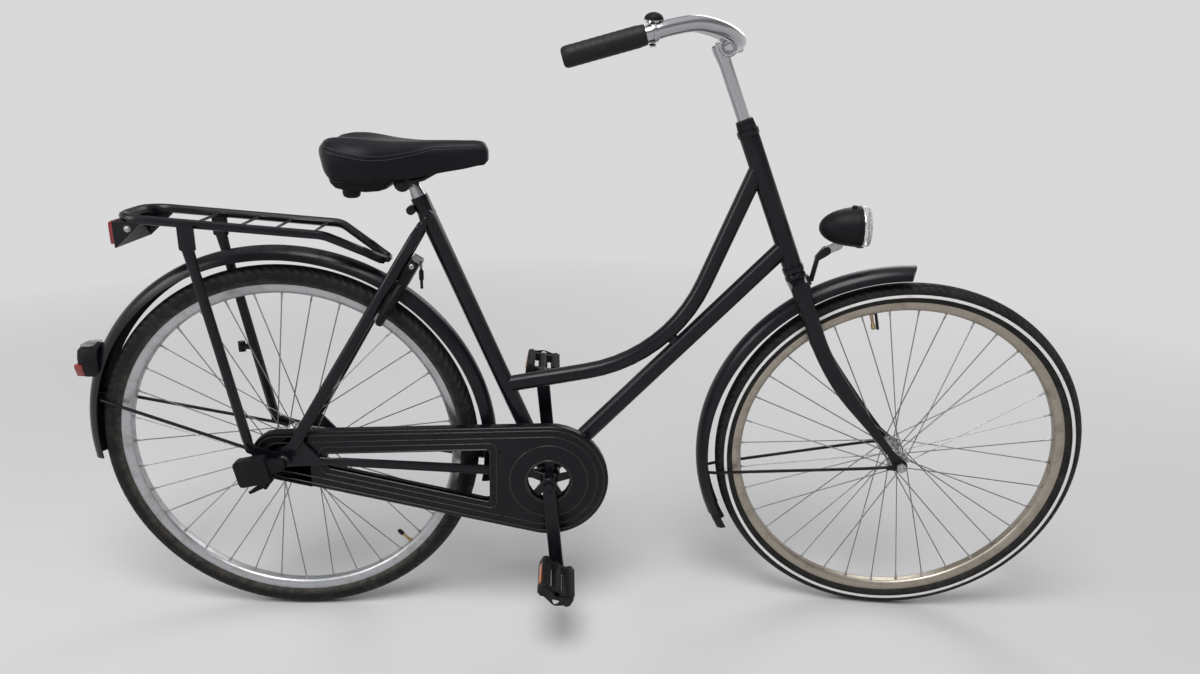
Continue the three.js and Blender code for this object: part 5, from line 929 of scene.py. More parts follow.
def rim_form():
    """A rolled rim with rounded lips and a raised middle bed"""
    half, well = RIM_HALF, 0.0078
    profile = [(RIM_INNER + 0.0010, 0.0), (RIM_INNER, 0.0045), (RIM_INNER + 0.0008, 0.0075),
               (RIM_INNER + 0.0050, half - 0.0016), (RIM_INNER + 0.0095, half - 0.0002),
               (RIM_TIP - 0.0030, half), (RIM_TIP - 0.0008, half - 0.0003), (RIM_TIP, half - 0.0014),
               (RIM_TIP - 0.0010, half - 0.0026), (RIM_TIP - 0.0040, half - 0.0026),
               (RIM_INNER + 0.0100, half - 0.0038), (RIM_INNER + 0.0085, well)]
    profile += [(r, -y) for r, y in reversed(profile[1:])]
    form = Form()
    form.add(*turned(profile, 180))
    return form


def hub_form(hub, rear):
    """The hub shell with its flanges, cones and nuts"""
    form = Form()
    f, t, y = hub["flange"], hub["thick"] / 2, hub["flange_y"]
    side = [(0.0055, hub["half"]), (hub["cap"] - 0.0012, hub["half"]), (hub["cap"], hub["half"] - 0.0012),
            (hub["cap"], hub["half"] - 0.008), (hub["barrel"] + 0.002, y + 2 * t + 0.001),
            (hub["barrel"] + 0.004, y + 1.6 * t), (f - 0.001, y + t), (f, y + t - 0.0006),
            (f, y - t + 0.0006), (f - 0.001, y - t), (hub["barrel"] + 0.004, y - 1.6 * t),
            (hub["barrel"], y - 3.2 * t)]
    if not rear:
        side.append((hub["barrel"] - 0.0012, 0.004))
    profile = side + [(r, -v) for r, v in reversed(side)]
    form.add(*turned(profile, 48))
    return form


def spoke_form(hub, radius):
    """Crossed spokes with their bent heads in the flanges and nipples in the rim"""
    form = Form()
    pitch = math.tau / SPOKE_COUNT
    hook = hub["flange"] - hub["thick"]
    for i in range(SPOKE_COUNT):
        side, lead = (-1 if i % 2 else 1), (-1 if i // 2 % 2 else 1)
        rim_angle = i * pitch
        hub_angle = rim_angle + lead * CROSS_ANGLE
        hub_y = side * (hub["flange_y"] + lead * (hub["thick"] / 2 + 0.0004))
        head = Vector((hook * math.cos(hub_angle), hub_y, hook * math.sin(hub_angle)))
        back = head - Vector((0, side * lead * (hub["thick"] + 0.0012), 0))
        end = Vector((RIM_INNER * math.cos(rim_angle), side * 0.0022, RIM_INNER * math.sin(rim_angle)))
        way = (end - head).normalized()
        bend = head + way * 0.003
        wire = [back, head.lerp(back, 0.25), head.lerp(bend, 0.3), bend, end - way * 0.006]
        nipple = [end + way * along for along in (-0.013, -0.0122, -0.003, -0.0025, 0.0008)]
        form.add(*swept(wire, radius, 6))
        form.add(*swept([back, back + (back - head).normalized() * 0.0014], radius * 1.9, 8))
        form.add(*swept(nipple, [radius * 1.15, 0.0018, 0.0018, 0.0026, 0.0026], 8), 1)
    return form


# Distances inward from the rim, radii, sides and finish number of the valve's stem, nut and cap
VALVE_PARTS = (
    ((-0.002, 0.001, 0.024), (0.003, 0.003, 0.0029), 12, 0),
    ((0.0, 0.0028), (0.0052, 0.0052), 6, 0),
    ((0.021, 0.0215, 0.031, 0.032), (0.0036, 0.0042, 0.0042, 0.0030), 12, 1),
)


class WheelsOperator(bpy.types.Operator):
    """Makes both wheels: treaded tyres, rolled rims, hubs, crossed spokes with nipples and valves"""

    bl_idname = "bicycle.wheels"
    bl_label = "Wheels"

    def execute(self, context):
        sizes = context.scene.bicycle_sizes
        for end, place in WHEELS.items():
            hub, body = HUBS[end], f"{end}_wheel"
            tyre = tyre_form(sizes, end == "front").piece(
                f"{end}_treaded_tyre", body, [FINISHES[f"tyre_{end}"], FINISHES["stripe"]], place, 50,
                stands_for=[f"{end}_tyre"])
            rim = rim_form().piece(f"{end}_rolled_rim", body, FINISHES[f"{end}_rim"], place, 50,
                                   stands_for=[f"{end}_rim"])
            shell = hub_form(hub, end == "rear").piece(f"{end}_hub_shell", body, FINISHES["zinc"], place, 30)
            wires = spoke_form(hub, sizes.spoke_radius).piece(
                f"{end}_spokes", body, [FINISHES["spoke"], FINISHES["zinc"]], place, 40,
                stands_for=[f"{end}_hub_and_spokes"])
            self.valve(end, body, place, math.radians(hub["valve"]))
        return {"FINISHED"}

    def valve(self, end, body, place, angle):
        """A threaded valve stem with its knurled nut and cap"""
        way = Vector((math.cos(angle), 0, math.sin(angle)))
        form = Form()
        for distances, radii, sides, finish in VALVE_PARTS:
            form.add(*swept([way * (RIM_INNER - d) for d in distances], radii, sides), finish)
        cap = "brass" if end == "front" else "rubber"
        item = form.piece(f"{end}_valve", body, [FINISHES["brass"], FINISHES[cap]], place, 40)


# Mudguards
GUARD_HALF = 0.025
GUARD_DEPTH = 0.022
GUARD_THICK = 0.0016
# The front mudguard's middle lies this far behind the axle
FRONT_GUARD_BACK = 0.006
GUARDS = {
    "rear": dict(radius=0.3845, start=-10, end=184, tuck=0.014, tuck_from=110, steps=110, slant=0.0),
    "front": dict(radius=0.381, start=92, end=205, tuck=0.0, tuck_from=110, steps=70, slant=1.5),
}


def guard_point(guard, degrees, share, inset):
    """A point of a mudguard's skin, inset from its outside"""
    tuck = max(0.0, (degrees - guard["tuck_from"]) / (guard["end"] - guard["tuck_from"]))
    degrees += guard["slant"] * share * share * max(0.0, 1 - (degrees - guard["start"]) / 8)
    fall = (1 - math.sqrt(1 - 0.94 * share * share)) / (1 - math.sqrt(0.06))
    reach = guard["radius"] - guard["tuck"] * tuck * tuck - inset - (GUARD_DEPTH - inset) * fall
    angle = math.radians(degrees)
    return Vector((reach * math.cos(angle), share * (GUARD_HALF - inset), reach * math.sin(angle)))


class GuardsOperator(bpy.types.Operator):
    """Makes both mudguards: curved pressed skins with rolled edges and rolled lips at their ends"""

    bl_idname = "bicycle.guards"
    bl_label = "Mudguards"

    def execute(self, context):
        front = STEERED @ Matrix.Translation(FRONT_AXLE - Vector((FRONT_GUARD_BACK, 0, 0)))
        places = {"rear": WHEELS["rear"], "front": front}
        for end, guard in GUARDS.items():
            form = Form()
            shares = [i / 9 - 1 for i in range(19)]
            angles = [guard["start"] + (guard["end"] - guard["start"]) * i / guard["steps"]
                      for i in range(guard["steps"] + 1)]
            loops = []
            for degrees in angles:
                outer = [guard_point(guard, degrees, share, 0) for share in shares]
                inner = [guard_point(guard, degrees, share, GUARD_THICK) for share in shares]
                loops.append(outer + inner[::-1])
            form.add(*lofted(loops))
            for side in (-1, 1):
                edge = [guard_point(guard, degrees, side, GUARD_THICK * 0.6) for degrees in angles]
                form.add(*swept(edge, GUARD_THICK * 0.85, 8))
            for degrees in (guard["start"], guard["end"]):
                lip = [guard_point(guard, degrees, share, GUARD_THICK * 0.5) for share in shares]
                form.add(*swept(lip, GUARD_THICK * 0.8, 8))
            piece = form.piece(f"{end}_rolled_mudguard", "frame" if end == "rear" else "steering",
                               FINISHES["enamel"], places[end], 40, stands_for=[f"{end}_mudguard"])
        return {"FINISHED"}


# Chain case. Places across the bicycle of its face, of its inner edge and of the face's back
CASE_OUT = -0.0582
CASE_IN = -0.0495
CASE_BACK = -0.0565
CASE_RADIUS = 0.113
CASE_REAR_RADIUS = 0.048
CASE_REAR = REAR_AXLE - Vector((0.014, 0, 0))
CASE_HOLE = 0.040
CASE_WINDOW = dict(front=0.374, back=0.072, corner=0.009, high=0.045, low=0.046)
# Inset from the outline and place across, round the shoulder's outside and its inside
CASE_SHOULDER = ((0.0, CASE_IN), (0.0, -0.0535), (0.0006, -0.0556), (0.0018, -0.0572), (0.0040, CASE_OUT))
CASE_INSIDE = ((0.0, CASE_IN), (0.0017, CASE_IN), (0.0017, -0.0545), (0.0042, CASE_BACK))
CASE_SCREWS = ((0.028, 0.366), (0.118, 0.300), (0.392, 0.366), (0.396, 0.228), (0.566, 0.352), (0.548, 0.232))
# Heading from the bracket to the case's rear end, and the angle from it to where the straight sides begin
CASE_HEADING = math.atan2(CASE_REAR.z - BRACKET.z, CASE_REAR.x - BRACKET.x)
CASE_SPREAD = math.acos((CASE_RADIUS - CASE_REAR_RADIUS)
                        / math.hypot(CASE_REAR.x - BRACKET.x, CASE_REAR.z - BRACKET.z))


def belt(inset, count=56):
    """The case's outline as (x, z) points, drawn in by an inset"""
    start, sweep = CASE_HEADING + CASE_SPREAD, math.tau - 2 * CASE_SPREAD
    front = circle(BRACKET.x, BRACKET.z, CASE_RADIUS - inset, count, start, sweep)
    back = circle(CASE_REAR.x, CASE_REAR.z, CASE_REAR_RADIUS - inset, count // 2, CASE_HEADING - CASE_SPREAD,
                  2 * CASE_SPREAD)
    high, low = [], []
    for k in range(1, 10):
        low.append(tuple(Vector(front[-1]).lerp(Vector(back[0]), k / 10)))
        high.append(tuple(Vector(back[-1]).lerp(Vector(front[0]), k / 10)))
    return front + low + back + high


def window_outline(grow, corner_steps=6):
    """The window round the chain stay as (x, z) points, grown by a margin"""
    w = CASE_WINDOW

    def edge(x, band, angle):
        radius = CASE_REAR_RADIUS - band
        rise = x - CASE_REAR.x - radius * math.cos(angle)
        return CASE_REAR.z + radius * math.sin(angle) - rise * math.cos(angle) / math.sin(angle)

    left, right, corner = w["back"] - grow, w["front"] + grow, w["corner"] + grow / 2

    def high(x):
        return edge(x, w["high"], CASE_HEADING - CASE_SPREAD) + grow

    def low(x):
        return edge(x, w["low"], CASE_HEADING + CASE_SPREAD) - grow

    outline = []
    for start, middle, end in (
        ((left, (high(left) + low(left)) / 2), (left, low(left)), (left + corner, low(left + corner))),
        ((right - corner, low(right - corner)), (right, low(right)), (right, low(right) + corner)),
        ((right, high(right) - corner), (right, high(right)), (right - corner, high(right - corner))),
        ((left + corner, high(left + corner)), (left, high(left)), (left, (high(left) + low(left)) / 2)),
    ):
        for i in range(corner_steps + 1):
            t = i / corner_steps
            outline.append(tuple((1 - t) ** 2 * s + 2 * t * (1 - t) * m + t * t * e
                                 for s, m, e in zip(start, middle, end)))
    return outline[:-1]


def pierced(outline, holes, y):
    """A flat face with holes in it, as points and triangles"""
    sheet = bmesh.new()
    for loop in (outline, *holes):
        made = [sheet.verts.new((x, y, z)) for x, z in loop]
        for a, b in zip(made, made[1:] + made[:1]):
            sheet.edges.new((a, b))
    bmesh.ops.triangle_fill(sheet, use_beauty=True, use_dissolve=False, edges=list(sheet.edges))
    sheet.verts.index_update()
    points = [tuple(v.co) for v in sheet.verts]
    faces = [[v.index for v in face.verts] for face in sheet.faces]
    sheet.free()
    return points, faces


# Shares of a rib's half width and height, from one side to the other
RIDGE_SECTION = ((-1, -0.3), (-0.75, 0.55), (0, 1), (0.75, 0.55), (1, -0.3))


def ridge(form, outline, width, height):
    """A low rounded rib that follows a closed outline on the case's face"""
    count = len(outline)
    points = []
    for i, (x, z) in enumerate(outline):
        along = (Vector(outline[(i + 1) % count]) - Vector(outline[i - 1])).normalized()
        across = Vector((-along.y, along.x)) * width / 2
        points += [(x + across.x * s, CASE_OUT - height * h, z + across.y * s) for s, h in RIDGE_SECTION]
    form.add(points, ring_faces(count, len(RIDGE_SECTION), closed=True))


class CaseOperator(bpy.types.Operator):
    """Makes the outer chain case with its round shoulder, window, ribs, lip and screws"""

    bl_idname = "bicycle.case"
    bl_label = "Chain case"

    def execute(self, context):
        form = Form()
        for shoulder in (CASE_SHOULDER, CASE_INSIDE):
            form.add(*lofted([[(x, y, z) for x, z in belt(inset)] for inset, y in shoulder], ends=False))
        hole = circle(BRACKET.x, BRACKET.z, CASE_HOLE, 72)
        window = window_outline(0)
        for inset, y in (CASE_SHOULDER[-1], CASE_INSIDE[-1]):
            form.add(*pierced(belt(inset), [window, hole], y))
        for outline in (window, hole):
            form.add(*lofted([[(x, y, z) for x, z in outline] for y in (CASE_OUT, CASE_BACK)], ends=False))
        piece = form.piece("chain_case_cover", "frame", FINISHES["case"], crease=50,
                           stands_for=["chain_case_outer"])
        self.ribs()
        self.screws()
        return {"FINISHED"}

    def ribs(self):
        """Ribs along the case's edge, round its hole and round its window"""
        form = Form()
        for outline, width, height in (
            (belt(0.0085), 0.0034, 0.0016), (belt(0.0215), 0.0028, 0.0011),
            (circle(BRACKET.x, BRACKET.z, 0.0735, 90), 0.0034, 0.0011),
            (circle(BRACKET.x, BRACKET.z, CASE_HOLE + 0.0026, 72), 0.0050, 0.0017),
            (window_outline(0.0130), 0.0030, 0.0013), (window_outline(0.0014), 0.0038, 0.0019),
        ):
            ridge(form, outline, width, height)
        # The ribs take the lighter case finish, a painted highlight along them
        piece = form.piece("chain_case_ribs", "frame", FINISHES["case_edge"], crease=60)

    def screws(self):
        """Round screw heads on the case's face"""
        form = Form()
        for x, z in CASE_SCREWS:
            dome_form(form, at((x, CASE_OUT + 0.0004, z), (0, -1, 0)), 0.0042, 0.0021, 0, 16, 4, 0.0006)
        piece = form.piece("chain_case_screws", "frame", FINISHES["moulding"], crease=45)


# Saddle
SADDLE_LOW, SADDLE_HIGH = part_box("saddle_cover")
SADDLE_TAIL = SADDLE_LOW.x - 0.0025
SADDLE_LENGTH = SADDLE_HIGH.x - SADDLE_TAIL
SADDLE_DEPTH = SADDLE_HIGH.z - SADDLE_LOW.z
SADDLE_HALF = (SADDLE_HIGH.y - SADDLE_LOW.y) / 2
# Share of the length, half width, height of the top, height of the edge and depth of the middle hollow
SADDLE_STATIONS = (
    (0.0, 0.60, 0.22, 0.56, 0.08), (0.035, 0.80, 0.09, 0.80, 0.13), (0.08, 0.93, 0.02, 0.955, 0.19),
    (0.12, 0.98, 0.0, 1.0, 0.20), (0.2, 1.0, 0.0, 1.0, 0.17), (0.3, 0.955, 0.045, 1.0, 0.11),
    (0.4, 0.80, 0.10, 0.99, 0.06), (0.5, 0.60, 0.125, 0.965, 0.03), (0.6, 0.415, 0.135, 0.915, 0.01),
    (0.72, 0.28, 0.125, 0.83, 0.0), (0.86, 0.225, 0.115, 0.735, 0.0), (0.945, 0.20, 0.115, 0.66, 0.0),
    (0.985, 0.165, 0.165, 0.635, 0.0), (1.0, 0.125, 0.27, 0.58, 0.0),
)


def saddle_station(share):
    """The five shares at any place along the saddle, on smooth curves through the stations"""
    for k in range(len(SADDLE_STATIONS) - 1):
        if share <= SADDLE_STATIONS[k + 1][0]:
            break
    a, b = SADDLE_STATIONS[k], SADDLE_STATIONS[k + 1]
    before = SADDLE_STATIONS[max(k - 1, 0)]
    after = SADDLE_STATIONS[min(k + 2, len(SADDLE_STATIONS) - 1)]
    t = (share - a[0]) / (b[0] - a[0])
    found = []
    for i in range(1, 5):
        span = b[0] - a[0]
        start = (b[i] - before[i]) / max(b[0] - before[0], 1e-6) * span
        end = (after[i] - a[i]) / max(after[0] - a[0], 1e-6) * span
        found.append((2 * t ** 3 - 3 * t ** 2 + 1) * a[i] + (t ** 3 - 2 * t ** 2 + t) * start
                     + (3 * t ** 2 - 2 * t ** 3) * b[i] + (t ** 3 - t ** 2) * end)
    return found


# Shares of the half width and of the height, from the middle of the top round the side to the lip below
SADDLE_SECTION = (
    (0, 1), (0.12, 0.998), (0.25, 0.992), (0.4, 0.985), (0.55, 0.968), (0.7, 0.925), (0.82, 0.855),
    (0.91, 0.76), (0.965, 0.655), (0.99, 0.56), (0.985, 0.535), (0.992, 0.50), (0.985, 0.40), (0.965, 0.27),
    (0.93, 0.12), (0.895, 0.02), (0.87, 0.0), (0.85, 0.02), (0.845, 0.1),
)


def section_width(up):
    """How far out the section lies at a share of its height"""
    for (y0, z0), (y1, z1) in zip(SADDLE_SECTION, SADDLE_SECTION[1:]):
        if z1 <= up <= z0:
            return y0 + (y1 - y0) * (z0 - up) / max(z0 - z1, 1e-6)
    return 1.0


def saddle_point(share, across, up, side):
    """A point of the cover on one side, at a share of its length and at a point of its section"""
    width, top, low, dip = saddle_station(share)
    depth = (low - top) * SADDLE_DEPTH
    hollow = dip * max(0.0, 1 - (across / 0.62) ** 2) if up > 0.9 else 0.0
    return Vector((SADDLE_TAIL + SADDLE_LENGTH * share, side * across * width * SADDLE_HALF,
                   SADDLE_HIGH.z - low * SADDLE_DEPTH + (up - hollow) * depth))


# The seam's place in the section, the stitches' distance from it, and the thickness of its welt and thread
SEAM_UP = 0.56
SEAM_FALL = 0.22
STITCH_LIFT = 0.045
WELT_RADIUS = 0.0009
THREAD_RADIUS = 0.00042
# Place along the bicycle, half width and underside of the moulded base
BASE_STATIONS = (
    (0.1120, 0.058, 0.8550), (0.1150, 0.062, 0.8500), (0.1230, 0.067, 0.8440), (0.1400, 0.071, 0.8405),
    (0.1740, 0.070, 0.8388), (0.1930, 0.060, 0.8398), (0.2030, 0.050, 0.8425), (0.2070, 0.044, 0.8480),
)
BASE_TOP = 0.8600
# Radius and height round a rubber bumper below the base
BUMPER = ((0.0, 0.0), (0.0090, 0.0004), (0.0128, 0.0025), (0.0147, 0.0062), (0.0148, 0.0120),
          (0.0138, 0.0200), (0.0, 0.0200))
BUMPER_PLACE = Vector((0.1480, 0.055, 0.8282))


class SaddleOperator(bpy.types.Operator):
    """Makes the padded saddle cover with its double-stitched seam, and the moulded base below its tail"""

    bl_idname = "bicycle.saddle"
    bl_label = "Saddle"

    def execute(self, context):
        form = Form()
        shares = [0.5 - 0.5 * math.cos(math.pi * i / 72) for i in range(73)]
        loops = []
        for share in shares:
            near = [saddle_point(share, across, up, -1) for across, up in SADDLE_SECTION]
            far = [saddle_point(share, across, up, 1) for across, up in SADDLE_SECTION]
            loops.append(near[::-1] + far[1:])
        form.add(*lofted(loops, ends=False))
        for share, loop in ((shares[0], loops[0]), (shares[-1], loops[-1])):
            middle = sum(loop, Vector()) / len(loop)
            outward = Vector((-1 if share < 0.5 else 1, 0, 0))
            rings = [loop]
            for k in (0.93, 0.78, 0.5, 0.2):
                bulge = 0.0022 * math.sqrt(1 - k * k)
                rings.append([middle + (p - middle) * k + outward * bulge for p in loop])
            form.add(*lofted(rings))
        cover = form.piece("saddle_padded_cover", "saddle", FINISHES["vinyl"], crease=70,
                           stands_for=["saddle_cover"])
        self.stitches(shares)
        self.base()
        return {"FINISHED"}

    def stitches(self, shares):
        """Two rows of stitches beside the seam that runs down and up again on each side"""
        form, welt = Form(), Form()
        for side in (-1, 1):
            for lift in (STITCH_LIFT, -STITCH_LIFT, 0.0):
                path = []
                for share in shares[5:-6]:
                    up = SEAM_UP + SEAM_FALL * min(1.0, abs(share - 0.32) / 0.34) ** 1.6 + lift
                    path.append(saddle_point(share, section_width(up), up, side))
                if not lift:
                    welt.add(*swept(evenly(path, 120), WELT_RADIUS, 6))
                    continue
                path = evenly(path, 150)
                for a, b in zip(path[::2], path[1::2]):
                    out = Vector((0, side * 0.0007, 0.0003))
                    form.add(*swept([a, a + out, b + out, b], THREAD_RADIUS, 5))
        piece = form.piece("saddle_stitches", "saddle", FINISHES["thread"])
        seam = welt.piece("saddle_seam", "saddle", FINISHES["vinyl"])

    def base(self):
        """The moulded base that hangs below the tail, with its two rubber bumpers"""
        form = Form()
        loops = []
        for x, half, low in BASE_STATIONS:
            edge = [(half, low + 0.007), (half - 0.0025, low + 0.002), (half - 0.008, low)]
            section = [(half, BASE_TOP), *edge]
            loops.append([(x, y, z) for y, z in section] + [(x, -y, z) for y, z in reversed(section)])
        form.add(*lofted(loops))
        for side in (-1, 1):
            place = at((BUMPER_PLACE.x, side * BUMPER_PLACE.y, BUMPER_PLACE.z), (0, 0, 1))
            form.add(*turned(BUMPER, 32), 0, place)
        piece = form.piece("saddle_moulded_base", "saddle", FINISHES["moulding"], crease=38,
                           stands_for=["saddle_base"])


def hull(points):
    """The outline round a set of (x, z) points"""
    points = sorted(set(points))
    chains = []
    for line in (points, points[::-1]):
        chain = []
        for p in line:
            while len(chain) > 1 and ((chain[-1][0] - chain[-2][0]) * (p[1] - chain[-2][1])
                                      - (chain[-1][1] - chain[-2][1]) * (p[0] - chain[-2][0])) <= 0:
                chain.pop()
            chain.append(p)
        chains += chain[:-1]
    return chains


# Stem, handlebar, grips and bell, straight ahead before they are turned with the fork
BAR = STRAIGHT @ joint_place("bar_tilt")
STEER_AXIS = joint_axis("stem_height")
BAR_HALF = 0.239
BAR_RADIUS = 0.0116
# Points of the bar's bend from its middle to its end, as shares of its half width
BAR_SHARES = (
    (0, 0, 0), (0, 0.0879, 0), (0.0251, 0.2176, 0.0126), (0.0418, 0.3515, 0.0335), (0, 0.5105, 0.0669),
    (-0.1004, 0.6611, 0.1088), (-0.251, 0.795, 0.1339), (-0.4017, 0.887, 0.1088), (-0.5523, 0.9456, 0.0628),
    (-0.8201, 0.9749, -0.0209), (-1.0377, 1, -0.0837),
)
GRIP_RADIUS = 0.0156
GRIP_LENGTH = 0.124
GRIP_GROOVES = 9
GRIP_GROOVE_DEPTH = 0.0004
# Distance along the steering axis from the stem's top, and radius
STEM_SECTIONS = ((-0.226, 0.0105), (-0.225, 0.0111), (-0.030, 0.0111), (-0.016, 0.0126), (-0.006, 0.0142),
                 (0.004, 0.0138), (0.0055, 0.0120))
# Radius and place across of the shell that holds the bar
STEM_SHELL = ((0.0119, -0.0210), (0.0158, -0.0210), (0.0170, -0.0198), (0.0170, 0.0198), (0.0158, 0.0210),
              (0.0119, 0.0210))
# Place across, direction and height of the clamp's nuts
STEM_NUTS = ((-0.0070, (0, -1, 0), 0.0045), (0.0070, (0, 1, 0), 0.0035))
BELL_RADIUS, BELL_HEIGHT = 0.0139, 0.0108


def bar_point(index, side):
    """A point of the bar's bend on one side"""
    x, y, z = BAR_SHARES[index]
    return BAR + Vector((x, side * y, z)) * BAR_HALF


class CockpitOperator(bpy.types.Operator):
    """Makes the bent handlebar, the stem with its bolts, both grips and the bell"""

    bl_idname = "bicycle.cockpit"
    bl_label = "Handlebar and stem"

    def execute(self, context):
        route = [bar_point(i, -1) for i in range(len(BAR_SHARES) - 1, 0, -1)]
        route += [bar_point(i, 1) for i in range(len(BAR_SHARES))]
        bar = Form()
        bar.add(*swept(spline(route, 220), BAR_RADIUS, 28))
        piece = bar.piece("bent_handlebar", "bar", FINISHES["plate"], STEERED, 50, stands_for=["handlebar"])
        self.stem()
        for side, name in ((-1, "right"), (1, "left")):
            self.grip(side, name)
        self.bell()
        return {"FINISHED"}

    def stem(self):
        """The stem's tube, the shell round the bar, its two ears and their bolt, and the bolt on top"""
        form = Form()
        top = BAR - Vector((0.014, 0, 0.002))
        path = [top + STEER_AXIS * along for along, radius in STEM_SECTIONS]
        form.add(*swept(path, [radius for along, radius in STEM_SECTIONS], 32))
        form.add(*turned(STEM_SHELL, 48), 0, Matrix.Translation(BAR))
        ears = hull(circle(0.012, -0.002, 0.008, 16) + circle(0.0200, -0.0045, 0.0050, 16))
        for low, high in ((-0.0070, -0.0008), (0.0008, 0.0070)):
            form.add(*slab(ears, low, high), 0, Matrix.Translation(BAR))
        for across, way, height in STEM_NUTS:
            nut_form(form, at(BAR + Vector((0.0195, across, -0.0045)), way), 0.0085, height, finish=1)
        nut_form(form, at(top + STEER_AXIS * 0.0052, STEER_AXIS), 0.0110, 0.0042, finish=1)
        piece = form.piece("plated_stem", "stem", [FINISHES["plate"], FINISHES["zinc"]], STEERED, 40,
                           stands_for=["stem"])
        round_edges(piece, 0.0005)

    def grip(self, side, name):
        """A grip with a round end, shallow grooves and a lip"""
        end, inner = bar_point(10, side), bar_point(8, side)
        way = (inner - end).normalized()
        radius, length = GRIP_RADIUS, GRIP_LENGTH
        shape = [(0.0, 0.0), (0.0090, 0.0002), (0.0130, 0.0014), (0.0152, 0.0048), (radius, 0.0100)]
        for g in range(GRIP_GROOVES):
            y = 0.020 + g * (length - 0.040) / (GRIP_GROOVES - 1)
            shape += [(radius, y - 0.0014), (radius - GRIP_GROOVE_DEPTH, y), (radius, y + 0.0014)]
        shape += [(radius, length - 0.012), (0.0150, length - 0.008), (0.0146, length - 0.0015),
                  (0.0138, length), (BAR_RADIUS + 0.0004, length), (0.0, length)]
        form = Form()
        form.add(*turned(shape, 40), 0, at(end - way * 0.004, way))
        piece = form.piece(f"moulded_grip_{name}", "bar", FINISHES["grip"], STEERED, 45,
                           stands_for=[f"grip_{name}"])

    def bell(self):
        """The bell's dome with the screw on top of it"""
        place = bar_point(7, -1).lerp(bar_point(8, -1), 0.77)
        foot = place + Vector((0, 0.007, 0.0167))
        upright = Matrix.Rotation(math.pi / 2, 4, "X")
        form = Form()
        dome_form(form, Matrix.Translation(foot) @ upright, BELL_RADIUS, BELL_HEIGHT, 0, 36, 8, 0.0014)
        screw = Matrix.Translation(foot + Vector((0, 0, 0.0100))) @ upright
        dome_form(form, screw, 0.0022, 0.0010, 1, 16, 3)
        piece = form.piece("bell_cap", "bar", [FINISHES["moulding"], FINISHES["zinc"]], STEERED, 50,
                           stands_for=["bell_dome"])


# Fork. Heights are measured along the steering axis, from the foot that is level with the axle
FORK_OFFSET = 0.072
FORK_FOOT = FRONT_AXLE - Vector((FORK_OFFSET / STEER_AXIS.z, 0, 0))
FORK_BEND, FORK_BEND_TOP, FORK_SHOULDER, FORK_CROWN = 0.200, 0.272, 0.32, 0.3665
FORK_RACE, FORK_STEERER_TOP = 0.3790, 0.6803
FORK_BEND_LENGTH = 0.086
STEERER_RADIUS = 0.0127
CROWN_HALF, CROWN_LONG, CROWN_HIGH, CROWN_CORNER = 0.047, 0.0170, 0.0125, 0.0060
# Radius and height round the bearing race above the crown
RACE = ((0.0, 0.0), (0.0192, 0.0), (0.0195, 0.0030), (0.0176, 0.0090), (0.0150, 0.0117), (0.0, 0.0117))
# Half depth and half width of a blade at the crown, and what both lose on the way down
BLADE_DEEP, BLADE_WIDE, BLADE_TAPER = 0.0145, 0.0095, 0.0072
# Distance of a blade from the middle at the crown, and what it gains on the way down
BLADE_OUT, BLADE_SPREAD = 0.038, 0.0146
BLADE_STEPS, BLADE_SIDES = 44, 28
# Flat end of a blade: place across and half thickness, then radius at the axle, and radius and reach above it
DROPOUT_OUT, DROPOUT_HALF = 0.0526, 0.0023
DROPOUT_RADIUS, DROPOUT_UPPER, DROPOUT_REACH = 0.0128, 0.0072, 0.030


def steer_at(along):
    """A point of the steering axis, straight ahead"""
    return FORK_FOOT + STEER_AXIS * along


def eased(share):
    """A share held between 0 and 1 with soft ends"""
    share = min(1.0, max(0.0, share))
    return share * share * (3 - 2 * share)


def oval(centre, across, depth, width, sides=28):
    """Points round an oval section that is upright to the bicycle's middle plane"""
    out = Vector((0, 1, 0))
    turns = [math.tau * k / sides for k in range(sides)]
    return [centre + across * (depth * math.cos(turn)) + out * (width * math.sin(turn)) for turn in turns]


